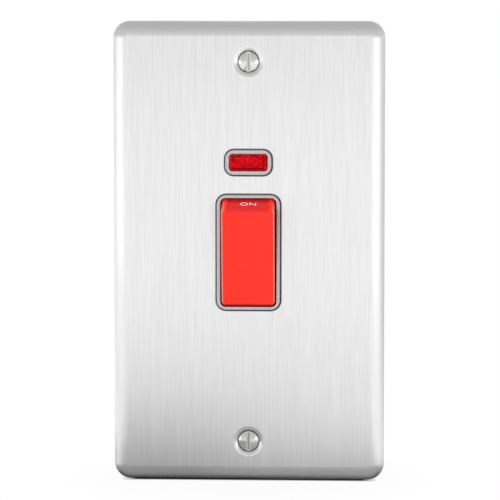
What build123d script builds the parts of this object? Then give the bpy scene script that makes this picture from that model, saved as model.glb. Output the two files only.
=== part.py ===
from build123d import *
import os
from math import cos, radians, sin, sqrt

# Double pole cooker switch with a neon indicator on an upright two-gang steel plate.
# +Z is up, +X is to the right as seen from the front and +Y goes into the wall.
# The origin is midway between the two fixing screws, on the wall plane that the rim rests on.
# Sizes are millimetres and degrees. The rocker is drawn switched on, with its lower half pressed in.

# Front plate
FIXING_PITCH = 120.6
PLATE_OVERHANG = 12.7
PLATE_WIDTH = 86.0
PLATE_DEPTH = 5.0
SHEET = 0.8
APERTURE_ROUND = 0.3
PLATE_CORNER = 5.2
PLATE_EDGE = 4.6
DIMPLE_SINK = 0.6
DIMPLE_ROUND = 2.0
DIMPLE_HOLE_R = 1.95
DIMPLE_BLEND = 6.0

# Fixing screws, raised countersunk with a slot
FIXING_HEAD_R = 3.4
FIXING_DOME = 0.9
FIXING_NECK_R = 1.55
FIXING_THREAD_R = 1.75
FIXING_REACH = 22.0
FIXING_POINT = 0.8
FIXING_SLOT = 1.3
FIXING_SLOT_DEPTH = 0.9

# Frame behind the plate
FLANGE = 2.0
FLANGE_INSET = 0.4
FLANGE_CORNER = 2.0
RIM_WALL = 1.6
RIB_HEIGHT = 1.6
RIB = 1.2
RIB_X = 16.0
FIXING_HOLE_R = 6.5
FIXING_BOSS = 1.5
COLLAR_PROUD = 0.9
COLLAR_WALL = 1.15
COLLAR_CORNER = 3.0
COLLAR_ROUND = 0.35
WELL_WALL = 1.5
WELL_DEPTH = 8.2
EAR_POST_R = 3.2
EAR_POST_Z = 15.0
PRESS_POST_R = 1.9

# Studs welded to the plate, with their washers and nuts
STUD_INSET = 15.0
STUD_OFFSET = 7.4
STUD_R = 1.5
STUD_FOOT_R = 2.2
STUD_FOOT = 0.7
STUD_LENGTH = 6.0
WASHER_R = 3.4
WASHER = 0.5
NUT_FLATS = 5.5
NUT = 2.2

# Rocker
OPENING_WIDTH = 17.7
OPENING_LENGTH = 34.1
PIVOT_DEPTH = 7.8
ROCKER_PROUD = 2.5
ROCKER_TILT = 7.0
ROCKER_WALL = 1.4
ROCKER_FRONT = 1.6
ROCKER_CORNER = 1.2
ROCKER_EDGE = 0.6
LEGEND_WIDTH = 13.1
LEGEND_SINK = 0.4
LEGEND_END = -3.0
SKIRT_END = -2.5
SKIRT_MIDDLE = 3.2
SKIRT_LOBE = 4.5
TRUNNION_R = 2.0
SOCKET_WALL = 1.0
SOCKET_DEPTH = 4.0
SOCKET_WEB = 1.2

# Sprung plungers
PLUNGER_R = 2.0
PLUNGER_REACH = 12.0
PLUNGER_TAIL = 1.0
PLUNGER_BORE_R = 1.55
PLUNGER_BORE_END = 6.0
SPRING_R = 1.15
SPRING_WIRE_R = 0.25
SPRING_TURNS = 5

# Contact arms and tips
POLE_X = 3.6
ARM_WIDTH = 5.0
ARM_THICK = 1.4
ARM_HALF = 10.8
ARM_TILT = 9.8
ARM_GROOVE_R = 0.7
ARM_CORNER = 1.0
CONTACT_Z = 9.0
TIP_R = 1.6
TIP_HEIGHT = 0.9
TIP_DOME_R = 3.0
TIP_EDGE = 0.3

# Terminals
STRAP = 1.2
STRAP_WIDTH = 2.6
STRAP_MARGIN = 0.4
BLADE_MARGIN = 1.6
TERMINAL_X = 13.0
TERMINAL_WIDTH = 10.0
TERMINAL_LENGTH = 10.0
TERMINAL_DEPTH = 9.5
TERMINAL_FRONT_WALL = 0.9
TERMINAL_CHAMFER = 0.4
CABLE_BORE_R = 2.9
CLAMP_R = 2.0
CLAMP_HEAD_R = 2.35
CLAMP_HEAD = 1.9
CLAMP_CHAMFER = 0.3
CLAMP_PITCH = 5.0
CLAMP_SLOT = 0.9
CLAMP_SLOT_DEPTH = 1.0

# Switch base
BASE_WALL = 1.6
BASE_FLOOR = 2.4
BASE_CORNER = 2.0
BASE_CHAMFER = 0.8
BASE_RIB = 1.2
BASE_RIB_REACH = 1.9
BARRIER = 1.2
BARRIER_TOP = 5.6
FIN = 1.6
FIN_REACH = 3.5
FIN_START = 9.5
PANEL_DEPTH = 0.5
PANEL_WIDTH = 11.0
PANEL_MARGIN = 4.0
PANEL_CORNER = 1.0
CABLE_ENTRY_R = 3.7
ENTRY_FUNNEL = 0.7
EAR = 2.5
EAR_FRONT = 6.2
EAR_SCREW_R = 1.25
EAR_SCREW_DEPTH = 5.4
EAR_HEAD_R = 2.6
EAR_HEAD = 1.8
EAR_HEAD_CHAMFER = 0.6
EAR_SLOT = 0.8

# Neon indicator
LENS_WIDTH = 12.0
LENS_HEIGHT = 5.2
LENS_CORNER = 1.0
LENS_LIP = 0.9
LENS_FOOT = 1.0
LENS_BEVEL = 0.4
LENS_SET_BACK = 0.15
LENS_WALL = 1.2
NEON_COLLAR_CORNER = 2.7
NEON_COLLAR_WALL = 1.2
NEON_WALL = 0.7
NEON_DEPTH = 6.4
LAMP_R = 2.0
LAMP_GLASS = 0.4
LAMP_HALF = 4.8
LAMP_SHOULDER = 1.2
ELECTRODE_R = 0.55
ELECTRODE_GAP = 1.6
LEAD_IN_R = 0.3
LEAD_OUT = 0.8
COVER = 1.2
COVER_CHAMFER = 0.4
COVER_PLUG = 0.8
SADDLE_X = 3.0
SADDLE = 1.0
LEAD_R = 0.6
LEAD_BEND = 1.3
LEAD_X = 6.2
RESISTOR_R = 1.1
RESISTOR_LENGTH = 5.0
RESISTOR_START = 1.4
RESISTOR_CHAMFER = 0.3
LEAD_TAIL = 0.6

# Earth terminal on one stud
EARTH_STRAP = 1.0
EARTH_WIDTH = 8.0
EARTH_LENGTH = 10.0
EARTH_DROP = 5.0
EARTH_DEPTH = 9.0
EARTH_BORE_R = 2.1
EARTH_BORE_WALL = 2.2

# Clearances
APERTURE_GAP = 0.3
SEAT_GAP = 0.03
ROCKER_GAP = 0.4
RUNNING_GAP = 0.05
PLUNGER_GAP = 0.1
PLUNGER_CLEAR = 0.2
GROOVE_GAP = 0.1
CONTACT_GAP = 0.1
THREAD_GAP = 0.03
FIT_GAP = 0.1
HOLE_GAP = 0.2
SCREW_ACCESS = 0.4
ARM_END_GAP = 1.6
FLOOR_GAP = 0.8

# How far joined shapes reach into each other, and cuts run past a face
OVERLAP = 0.1
PAST = 1.0

# Depths, from the face of the plate back into the wall
plate_height = FIXING_PITCH + 2 * PLATE_OVERHANG
fixing_z = FIXING_PITCH / 2
face_y = -PLATE_DEPTH
inner_y = face_y + SHEET
flange_y = inner_y + FLANGE
collar_y = face_y - COLLAR_PROUD
pivot_y = collar_y + PIVOT_DEPTH
well_y = flange_y + WELL_DEPTH

# Rocker about its pivot, and the well it swings in
rocker_width = OPENING_WIDTH - 2 * ROCKER_GAP
rocker_rise = PIVOT_DEPTH + ROCKER_PROUD
well_r = sqrt((OPENING_LENGTH / 2) ** 2 + PIVOT_DEPTH**2)
rocker_r = well_r - ROCKER_GAP
collar_width = OPENING_WIDTH + 2 * COLLAR_WALL
collar_length = OPENING_LENGTH + 2 * COLLAR_WALL
well_half_x = OPENING_WIDTH / 2 + WELL_WALL
well_half_z = well_r + WELL_WALL
legend_r = rocker_r - LEGEND_SINK
socket_floor = ROCKER_FRONT - rocker_rise
socket_r = PLUNGER_R + PLUNGER_GAP

# Contacts, drawn closed
arm_front_y = pivot_y + PLUNGER_REACH + PLUNGER_CLEAR
arm_pivot_y = arm_front_y + ARM_THICK
arm_sin = sin(radians(ARM_TILT))
arm_cos = cos(radians(ARM_TILT))
tip_face = (TIP_HEIGHT - TIP_DOME_R) * arm_cos + CONTACT_Z * arm_sin + TIP_DOME_R
tip_z = CONTACT_Z * arm_cos + (TIP_DOME_R - TIP_HEIGHT) * arm_sin
fixed_face_y = arm_pivot_y + tip_face + CONTACT_GAP
strap_y = fixed_face_y + TIP_HEIGHT
floor_y = strap_y + STRAP + FLOOR_GAP
terminal_y = floor_y - TERMINAL_DEPTH
cable_y = terminal_y + TERMINAL_FRONT_WALL + CABLE_BORE_R
terminal_z = ARM_HALF + ARM_END_GAP
terminal_mid_z = terminal_z + TERMINAL_LENGTH / 2
terminal_inner_x = TERMINAL_X - TERMINAL_WIDTH / 2
terminal_outer_x = TERMINAL_X + TERMINAL_WIDTH / 2

# Switch base round the terminals and the well
base_half_x = terminal_outer_x + FIT_GAP + BASE_RIB_REACH
lead_room = LEAD_R + HOLE_GAP + RESISTOR_R + FIT_GAP
base_half_z = max(terminal_z + TERMINAL_LENGTH + FIT_GAP, well_half_z + lead_room)
base_outer_x = base_half_x + BASE_WALL
base_outer_z = base_half_z + BASE_WALL
ear_x = base_outer_x + EAR_POST_R + HOLE_GAP
ear_y = flange_y + EAR_FRONT

# Neon housing just above the base
lens_foot_width = LENS_WIDTH + 2 * LENS_LIP
lens_foot_height = LENS_HEIGHT + 2 * LENS_LIP
lens_hole_width = LENS_WIDTH + 2 * FIT_GAP
lens_hole_height = LENS_HEIGHT + 2 * FIT_GAP
neon_collar_width = lens_hole_width + 2 * NEON_COLLAR_WALL
neon_collar_height = lens_hole_height + 2 * NEON_COLLAR_WALL
neon_half_x = lens_foot_width / 2 + FIT_GAP + NEON_WALL
neon_half_z = lens_foot_height / 2 + FIT_GAP + NEON_WALL
neon_z = base_outer_z + FIT_GAP + neon_half_z
neon_y = flange_y + NEON_DEPTH
lamp_y = flange_y + LENS_FOOT + HOLE_GAP + LAMP_R
lead_z = base_half_z - RESISTOR_R - FIT_GAP
resistor_y = well_y + RESISTOR_START
resistor_end_y = resistor_y + RESISTOR_LENGTH
lead_end_y = resistor_end_y + LEAD_BEND + LEAD_TAIL

# Fittings on the back of the flange
rib_z = neon_z + neon_half_z + RIB
stud_x = PLATE_WIDTH / 2 - STUD_INSET
stud_z = rib_z + STUD_OFFSET
earth_x = -stud_x
earth_z1 = -stud_z - EARTH_DROP
earth_z0 = earth_z1 - EARTH_LENGTH
earth_mid_z = (earth_z0 + earth_z1) / 2
earth_back_y = flange_y + EARTH_DEPTH
earth_bore_y = flange_y + EARTH_BORE_WALL + EARTH_BORE_R
SIDES = (-1, 1)


def slab(outline, y0, y1):
    """Solid of an outline drawn in X and Z, from depth y0 back to depth y1."""
    back = Plane((0, y1, 0), x_dir=(1, 0, 0), z_dir=(0, -1, 0))
    return extrude(back * outline, amount=y1 - y0)


def rod(radius, y0, y1, x=0.0, z=0.0):
    """Round bar that runs into the wall."""
    return slab(Pos(x, z) * Circle(radius), y0, y1)


def cross_bar(radius, x0, x1, y=0.0, z=0.0):
    """Round bar that runs from left to right."""
    return Pos((x0 + x1) / 2, y, z) * Rot(Y=90) * Cylinder(radius, x1 - x0)


def upright_bar(radius, x, y, z0, z1):
    """Round bar that runs upwards."""
    return Pos(x, y, (z0 + z1) / 2) * Cylinder(radius, z1 - z0)


def block(x0, x1, y0, y1, z0, z1):
    """Box between two values on each axis."""
    return Pos((x0 + x1) / 2, (y0 + y1) / 2, (z0 + z1) / 2) * Box(x1 - x0, y1 - y0, z1 - z0)


def side_view(points, half_width):
    """Solid of an outline drawn in Y and Z, as wide to the left as to the right."""
    return extrude(Plane.YZ * make_face(Polyline(*points, close=True)), amount=half_width, both=True)


def spun(points, radii=None, x=0.0, z=0.0):
    """Solid of revolution of an outline of radius and depth, with a rounding radius for each corner."""
    if radii is None:
        outline = Polyline(*points, close=True)
    else:
        outline = FilletPolyline(*points, radius=radii, close=True)
    return Pos(x, 0, z) * revolve(make_face(outline), axis=Axis.Y)


def coin(radius, width, round_over):
    """Disc on the rocker's axis with rounded rims."""
    disc = Rot(Y=90) * Cylinder(radius, width)
    return fillet(disc.edges().filter_by(GeomType.CIRCLE), round_over)


def front_face(shape):
    """The flat face nearest the room."""
    return shape.faces().sort_by(Axis.Y)[0]


def slotted(head, width, depth, end_y, reach, x=0.0, z=0.0):
    """Head with a screwdriver slot cut upright across the end at end_y, forwards if depth is negative."""
    y0, y1 = sorted((end_y, end_y + depth))
    return head - block(x - width / 2, x + width / 2, y0, y1, z - reach, z + reach)


def place_rocker(shape):
    """Tilt a piece drawn about the pivot to the rocker's rest position."""
    return Pos(0, pivot_y, 0) * Rot(X=ROCKER_TILT) * shape


def place_arm(shape):
    """Tilt a piece drawn about the arm's fulcrum so that its contact is closed."""
    return Pos(0, arm_pivot_y, 0) * Rot(X=-ARM_TILT) * shape


def pan(width, height, corner, front_y, edge):
    """Shallow block with a rolled front edge, open at the wall plane."""
    body = slab(RectangleRounded(width, height, corner), front_y, 0)
    return fillet(front_face(body).edges(), edge)


def dimple(z):
    """Pressed countersink of the plate at one fixing."""
    top_r = FIXING_HEAD_R + DIMPLE_SINK + SEAT_GAP * sqrt(2)
    drop = top_r - DIMPLE_HOLE_R
    turn = SHEET / sqrt(2)
    points = (
        (DIMPLE_BLEND, face_y),
        (top_r, face_y),
        (DIMPLE_HOLE_R, face_y + drop),
        (DIMPLE_HOLE_R + turn, face_y + drop + turn),
        (top_r + SHEET * (sqrt(2) - 1), inner_y),
        (DIMPLE_BLEND, inner_y),
    )
    return spun(points, (0, DIMPLE_ROUND, 0, 0, DIMPLE_ROUND - SHEET, 0), z=z)


def aperture(width, height, corner, z):
    """Cutter for the plate's opening round a collar."""
    gap = APERTURE_GAP
    outline = RectangleRounded(width + 2 * gap, height + 2 * gap, corner + gap)
    return slab(Pos(0, z) * outline, face_y - PAST, inner_y + PAST)


def front_plate():
    width = PLATE_WIDTH - 2 * SHEET
    height = plate_height - 2 * SHEET
    plate = pan(PLATE_WIDTH, plate_height, PLATE_CORNER, face_y, PLATE_EDGE)
    plate -= pan(width, height, PLATE_CORNER - SHEET, inner_y, PLATE_EDGE - SHEET)
    plate -= aperture(collar_width, collar_length, COLLAR_CORNER, 0)
    plate -= aperture(neon_collar_width, neon_collar_height, NEON_COLLAR_CORNER, neon_z)
    mouths = [edge for wire in front_face(plate).inner_wires() for edge in wire.edges()]
    plate = fillet(mouths, APERTURE_ROUND)
    for side in SIDES:
        z = side * fixing_z
        plate -= rod(DIMPLE_BLEND, face_y - PAST, inner_y + PAST, z=z)
        plate += dimple(z)
    return plate


def fixing_screw(z):
    rim_y = face_y + DIMPLE_SINK
    neck_y = rim_y + FIXING_HEAD_R - FIXING_NECK_R
    ball_r = (FIXING_HEAD_R**2 + FIXING_DOME**2) / (2 * FIXING_DOME)
    stem = (
        (0, rim_y),
        (FIXING_HEAD_R, rim_y),
        (FIXING_NECK_R, neck_y),
        (FIXING_NECK_R, 0),
        (FIXING_THREAD_R, 0),
        (FIXING_THREAD_R, FIXING_REACH - FIXING_POINT),
        (FIXING_THREAD_R - FIXING_POINT, FIXING_REACH),
        (0, FIXING_REACH),
    )
    ball = Pos(0, rim_y - FIXING_DOME + ball_r, z) * Sphere(ball_r)
    dome = ball & rod(FIXING_HEAD_R, rim_y - 2 * FIXING_DOME, rim_y + OVERLAP, z=z)
    screw = spun(stem, z=z) + dome
    end_y = rim_y - FIXING_DOME - PAST
    return slotted(screw, FIXING_SLOT, FIXING_SLOT_DEPTH + PAST, end_y, FIXING_HEAD_R + PAST, z=z)


def stud_places():
    return [(x * stud_x, z * stud_z) for x in SIDES for z in SIDES]


def earthed(x, z):
    """The earth terminal hangs from the lower left stud."""
    return x < 0 and z < 0


def weld_stud(x, z):
    foot = rod(STUD_FOOT_R, inner_y, inner_y + STUD_FOOT, x, z)
    return foot + rod(STUD_R, inner_y, inner_y + STUD_LENGTH, x, z)


def stud_washer(x, z):
    ring = rod(WASHER_R, flange_y, flange_y + WASHER, x, z)
    return ring - rod(STUD_R + FIT_GAP, flange_y - PAST, flange_y + WASHER + PAST, x, z)


def stud_nut(x, z):
    y0 = flange_y + (EARTH_STRAP if earthed(x, z) else WASHER)
    hexagon = RegularPolygon(NUT_FLATS / 2, 6, major_radius=False)
    nut = slab(Pos(x, z) * hexagon, y0, y0 + NUT)
    return nut - rod(STUD_R + THREAD_GAP, y0 - PAST, y0 + NUT + PAST, x, z)


def collar(outline, opening):
    """Trim that stands through the plate, with both front edges rounded."""
    ring = slab(outline, collar_y, flange_y) - opening
    return fillet(front_face(ring).edges(), COLLAR_ROUND)


def insert_frame():
    width = PLATE_WIDTH - 2 * PLATE_EDGE - 2 * FLANGE_INSET
    height = plate_height - 2 * PLATE_EDGE - 2 * FLANGE_INSET
    outline = RectangleRounded(width, height, FLANGE_CORNER)
    inside = Rectangle(width - 2 * RIM_WALL, height - 2 * RIM_WALL)
    rib_y = flange_y + RIB_HEIGHT
    frame = slab(outline, inner_y, flange_y)
    frame += slab(outline - inside, flange_y, rib_y)

    for side in SIDES:
        z = side * rib_z
        far = side * (height / 2 - RIM_WALL / 2)
        half = width / 2 - RIM_WALL / 2
        frame += block(-half, half, flange_y, rib_y, z - RIB / 2, z + RIB / 2)
        for x in (-RIB_X, RIB_X):
            frame += block(x - RIB / 2, x + RIB / 2, flange_y, rib_y, min(z, far), max(z, far))
        frame += rod(FIXING_HOLE_R + FIXING_BOSS, inner_y, rib_y, z=side * fixing_z)
        frame -= rod(FIXING_HOLE_R, inner_y - PAST, rib_y + PAST, z=side * fixing_z)

    frame += block(-well_half_x, well_half_x, inner_y, well_y, -well_half_z, well_half_z)
    frame += block(-neon_half_x, neon_half_x, inner_y, neon_y, neon_z - neon_half_z, neon_z + neon_half_z)
    pilot_y = ear_y - EAR_SCREW_DEPTH - FIT_GAP
    for x in SIDES:
        for z in SIDES:
            frame += rod(EAR_POST_R, inner_y, ear_y, x * ear_x, z * EAR_POST_Z)
            frame -= rod(EAR_SCREW_R + RUNNING_GAP, pilot_y, ear_y + PAST, x * ear_x, z * EAR_POST_Z)
            frame += rod(PRESS_POST_R, inner_y, terminal_y - FIT_GAP, x * TERMINAL_X, z * terminal_mid_z)

    well = Pos(0, pivot_y, 0) * coin(well_r, OPENING_WIDTH, ROCKER_CORNER + ROCKER_GAP)
    lens_hole = RectangleRounded(lens_hole_width, lens_hole_height, LENS_CORNER + FIT_GAP)
    lens_way = slab(Pos(0, neon_z) * lens_hole, collar_y - PAST, flange_y + PAST)
    frame -= well
    frame -= lens_way
    frame += collar(RectangleRounded(collar_width, collar_length, COLLAR_CORNER), well)
    neon_outline = RectangleRounded(neon_collar_width, neon_collar_height, NEON_COLLAR_CORNER)
    frame += collar(Pos(0, neon_z) * neon_outline, lens_way)
    frame -= cross_bar(TRUNNION_R + RUNNING_GAP, -well_half_x - PAST, well_half_x + PAST, pivot_y)
    frame -= block(
        NEON_WALL - neon_half_x,
        neon_half_x - NEON_WALL,
        flange_y,
        neon_y + PAST,
        neon_z - neon_half_z + NEON_WALL,
        neon_z + neon_half_z - NEON_WALL,
    )
    for x in (-LEAD_X, LEAD_X):
        frame -= upright_bar(LEAD_R + HOLE_GAP, x, lamp_y, neon_z - neon_half_z - PAST, neon_z)
    for x, z in stud_places():
        frame -= rod(STUD_R + HOLE_GAP, inner_y - PAST, rib_y, x, z)
        frame -= rod(STUD_FOOT_R + HOLE_GAP, inner_y - PAST, inner_y + STUD_FOOT + FIT_GAP, x, z)
    return frame


def legend_field():
    """Cutter for the shallow field of the legend, across the rocker's upper end."""
    half = LEGEND_WIDTH / 2
    field = block(-half, half, -rocker_rise - PAST, LEGEND_END, 0, rocker_r + PAST)
    return field - cross_bar(legend_r, -half - PAST, half + PAST)


def rocker():
    far = rocker_r + PAST
    outline = (
        (-rocker_rise, -far),
        (-rocker_rise, far),
        (SKIRT_END, far),
        (SKIRT_MIDDLE, SKIRT_LOBE),
        (SKIRT_MIDDLE, -SKIRT_LOBE),
        (SKIRT_END, -far),
    )
    shell = coin(rocker_r, rocker_width, ROCKER_CORNER) & side_view(outline, rocker_width)
    shell = fillet(front_face(shell).edges(), ROCKER_EDGE) - legend_field()
    hollow = coin(rocker_r - ROCKER_WALL, rocker_width - 2 * ROCKER_WALL, ROCKER_CORNER / 2)
    behind = ((socket_floor, -far), (socket_floor, far), (far, far), (far, -far))
    shell -= hollow & side_view(behind, rocker_width)
    inside = rocker_width / 2 - ROCKER_WALL / 2
    root_y = socket_floor - OVERLAP
    shell += block(-inside, inside, root_y, SKIRT_MIDDLE, -SOCKET_WEB / 2, SOCKET_WEB / 2)
    for side in SIDES:
        shell += rod(socket_r + SOCKET_WALL, root_y, SOCKET_DEPTH, side * POLE_X)
    for side in SIDES:
        shell -= rod(socket_r, socket_floor, SOCKET_DEPTH + PAST, side * POLE_X)
        ends = sorted((side * inside, side * (well_half_x - HOLE_GAP)))
        shell += cross_bar(TRUNNION_R, *ends)
    return place_rocker(shell)


def plunger(side):
    x = side * POLE_X
    ball_y = PLUNGER_REACH - PLUNGER_R
    body = rod(PLUNGER_R, -PLUNGER_TAIL, ball_y, x) + Pos(x, ball_y, 0) * Sphere(PLUNGER_R)
    return place_rocker(body - rod(PLUNGER_BORE_R, -PLUNGER_TAIL - PAST, PLUNGER_BORE_END, x))


def plunger_spring(side):
    length = PLUNGER_BORE_END - socket_floor - 2 * (SPRING_WIRE_R + SEAT_GAP)
    path = Helix(length / SPRING_TURNS, length, SPRING_R)
    coil = sweep(Plane(path @ 0, z_dir=path % 0) * Circle(SPRING_WIRE_R), path=path, is_frenet=True)
    seat_y = socket_floor + SPRING_WIRE_R + SEAT_GAP
    return place_rocker(Pos(side * POLE_X, seat_y, 0) * Rot(X=-90) * coil)


def contact_arm(side):
    x = side * POLE_X
    half = ARM_WIDTH / 2
    arm = block(x - half, x + half, -ARM_THICK, 0, -ARM_HALF, ARM_HALF)
    arm = fillet(arm.edges().filter_by(Axis.Y), ARM_CORNER)
    return place_arm(arm - cross_bar(ARM_GROOVE_R, x - half - PAST, x + half + PAST))


def moving_tip(side):
    ball_y = TIP_HEIGHT - TIP_DOME_R
    tip = rod(TIP_R, 0, TIP_HEIGHT, side * POLE_X, CONTACT_Z)
    return place_arm(tip & Pos(side * POLE_X, ball_y, CONTACT_Z) * Sphere(TIP_DOME_R))


def fixed_tip(side):
    tip = rod(TIP_R, fixed_face_y, strap_y, side * POLE_X, tip_z)
    return chamfer(front_face(tip).edges(), TIP_EDGE)


def clamp_places(end):
    middle = end * terminal_mid_z
    return [middle - CLAMP_PITCH / 2, middle + CLAMP_PITCH / 2]


def terminal(end):
    """Right-hand terminal with its strap, at the load end if end is 1 or the supply end if it is -1."""
    z0, z1 = sorted((end * terminal_z, end * (terminal_z + TERMINAL_LENGTH)))
    body = block(terminal_inner_x, terminal_outer_x, terminal_y, floor_y, z0, z1)
    body = chamfer(body.edges().filter_by(Axis.Z), TERMINAL_CHAMFER)
    pole_0 = POLE_X - ARM_WIDTH / 2
    pole_1 = POLE_X + ARM_WIDTH / 2
    reach = tip_z - TIP_R - STRAP_MARGIN if end > 0 else BLADE_MARGIN
    far = end * (terminal_z + STRAP_WIDTH)
    body += block(pole_0, pole_1, strap_y, strap_y + STRAP, min(reach, far), max(reach, far))
    near = end * terminal_z
    joint_x = terminal_inner_x + PAST
    body += block(pole_1 - OVERLAP, joint_x, strap_y, strap_y + STRAP, min(near, far), max(near, far))
    if end < 0:
        blade_r = ARM_GROOVE_R - GROOVE_GAP
        body += block(pole_0, pole_1, arm_pivot_y, strap_y + STRAP / 2, -blade_r, blade_r)
        body += cross_bar(blade_r, pole_0, pole_1, arm_pivot_y)
    body -= upright_bar(CABLE_BORE_R, TERMINAL_X, cable_y, z0 - PAST, z1 + PAST)
    for z in clamp_places(end):
        body -= rod(CLAMP_R + THREAD_GAP, cable_y, floor_y + PAST, TERMINAL_X, z)
    return body


def clamp_screw(x, z, bore_r, seat_y, axis_y):
    head_y = seat_y + HOLE_GAP
    end_y = head_y + CLAMP_HEAD
    stem = rod(CLAMP_R, axis_y + bore_r, head_y + OVERLAP, x, z)
    head = rod(CLAMP_HEAD_R, head_y, end_y, x, z)
    head = chamfer(head.edges().sort_by(Axis.Y)[-1], CLAMP_CHAMFER)
    return slotted(stem + head, CLAMP_SLOT, -CLAMP_SLOT_DEPTH, end_y, CLAMP_HEAD_R + PAST, x, z)


def terminal_screws():
    places = [(side * TERMINAL_X, z) for side in SIDES for end in SIDES for z in clamp_places(end)]
    return [clamp_screw(x, z, CABLE_BORE_R, floor_y, cable_y) for x, z in places]


def switch_base():
    back_y = floor_y + BASE_FLOOR
    body = block(-base_outer_x, base_outer_x, flange_y, back_y, -base_outer_z, base_outer_z)
    body = fillet(body.edges().filter_by(Axis.Y), BASE_CORNER)
    body = chamfer(body.faces().sort_by(Axis.Y)[-1].edges(), BASE_CHAMFER)
    tall = base_outer_z + FIN_REACH
    fin = block(-FIN / 2, FIN / 2, flange_y + FIN_START, back_y, -tall, tall)
    body += chamfer(fin.edges().filter_by(Axis.X).group_by(Axis.Y)[-1], FIN_REACH / 2)
    for side in SIDES:
        for end in SIDES:
            x0, x1 = sorted((side * (base_outer_x - OVERLAP), side * ear_x))
            z = end * EAR_POST_Z
            body += block(x0, x1, ear_y, ear_y + EAR, z - EAR_POST_R, z + EAR_POST_R)
            body += rod(EAR_POST_R, ear_y, ear_y + EAR, side * ear_x, z)
            body -= rod(EAR_SCREW_R + HOLE_GAP, ear_y - PAST, ear_y + EAR + PAST, side * ear_x, z)
    body -= block(-base_half_x, base_half_x, flange_y - PAST, floor_y, -base_half_z, base_half_z)
    root_y = floor_y + OVERLAP
    reach = base_half_z + OVERLAP
    body += block(-BARRIER / 2, BARRIER / 2, pivot_y + BARRIER_TOP, root_y, -reach, reach)
    for side in SIDES:
        for end in SIDES:
            x0, x1 = sorted((side * (terminal_outer_x + FIT_GAP), side * (base_half_x + OVERLAP)))
            z = end * terminal_mid_z
            body += block(x0, x1, terminal_y, root_y, z - BASE_RIB / 2, z + BASE_RIB / 2)
            z0, z1 = sorted((end * (base_half_z - OVERLAP), end * (base_outer_z + PAST)))
            body -= upright_bar(CABLE_ENTRY_R, side * TERMINAL_X, cable_y, z0, z1)
            funnel = Cone(CABLE_ENTRY_R, CABLE_ENTRY_R + ENTRY_FUNNEL, ENTRY_FUNNEL)
            seat = Pos(side * TERMINAL_X, cable_y, end * (base_outer_z - ENTRY_FUNNEL / 2))
            body -= seat * Rot(X=0 if end > 0 else 180) * funnel
            for z in clamp_places(end):
                way = rod(CLAMP_HEAD_R + SCREW_ACCESS, floor_y - OVERLAP, back_y + PAST, side * TERMINAL_X, z)
                body -= way
    for x in (-LEAD_X, LEAD_X):
        body -= upright_bar(LEAD_R + HOLE_GAP, x, lamp_y, base_half_z - OVERLAP, base_outer_z + PAST)
    panel = RectangleRounded(PANEL_WIDTH, 2 * (base_outer_z - PANEL_MARGIN), PANEL_CORNER)
    return body - slab(panel, back_y - PANEL_DEPTH, back_y + PAST)


def base_screw(x, z):
    seat_y = ear_y + EAR
    end_y = seat_y + EAR_HEAD
    shank = rod(EAR_SCREW_R, ear_y - EAR_SCREW_DEPTH, seat_y + OVERLAP, x, z)
    head = rod(EAR_HEAD_R, seat_y, end_y, x, z)
    head = chamfer(head.edges().sort_by(Axis.Y)[-1], EAR_HEAD_CHAMFER)
    return slotted(shank + head, EAR_SLOT, -EAR_HEAD / 2, end_y, EAR_HEAD_R + PAST, x, z)


def neon_lens():
    front_y = collar_y + LENS_SET_BACK
    middle = Pos(0, neon_z)
    face = slab(middle * RectangleRounded(LENS_WIDTH, LENS_HEIGHT, LENS_CORNER), front_y, flange_y)
    face = chamfer(front_face(face).edges(), LENS_BEVEL)
    foot = Rectangle(lens_foot_width, lens_foot_height)
    lens = face + slab(middle * foot, flange_y, flange_y + LENS_FOOT)
    pocket = Rectangle(LENS_WIDTH - 2 * LENS_WALL, LENS_HEIGHT - LENS_WALL)
    return lens - slab(middle * pocket, front_y + LENS_WALL, flange_y + LENS_FOOT + PAST)


def lamp_turned(points):
    """Solid of revolution about the lamp's axis, from an outline of distance along it and radius."""
    return Pos(0, lamp_y, neon_z) * revolve(make_face(Polyline(*points, close=True)), axis=Axis.X)


def neon_lamp():
    bore_r = LAMP_R - LAMP_GLASS
    end = LAMP_HALF
    shoulder = LAMP_HALF - LAMP_SHOULDER
    points = (
        (-end, LEAD_IN_R),
        (-end, LAMP_R / 2),
        (-shoulder, LAMP_R),
        (shoulder, LAMP_R),
        (end, LAMP_R / 2),
        (end, LEAD_IN_R),
        (shoulder + LAMP_GLASS, LEAD_IN_R),
        (shoulder, bore_r),
        (-shoulder, bore_r),
        (-shoulder - LAMP_GLASS, LEAD_IN_R),
    )
    return lamp_turned(points)


def neon_electrode(side):
    gap = side * ELECTRODE_GAP / 2
    step = side * (LAMP_HALF - LAMP_SHOULDER - LAMP_GLASS)
    end = side * (LAMP_HALF + LEAD_OUT)
    points = (
        (gap, 0),
        (gap, ELECTRODE_R),
        (step, ELECTRODE_R),
        (step, LEAD_IN_R),
        (end, LEAD_IN_R),
        (end, 0),
    )
    return lamp_turned(points)


def lead(*points):
    """Insulated wire of round section along bent straight runs."""
    path = FilletPolyline(*points, radius=LEAD_BEND)
    return sweep(Plane(path @ 0, z_dir=path % 0) * Circle(LEAD_R), path=path)


def lamp_end(side):
    """Bare wire from the lamp to the top of its lead."""
    ends = sorted((side * (LAMP_HALF + LEAD_OUT), side * (LEAD_X + LEAD_IN_R)))
    return cross_bar(LEAD_IN_R, *ends, lamp_y, neon_z)


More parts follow.
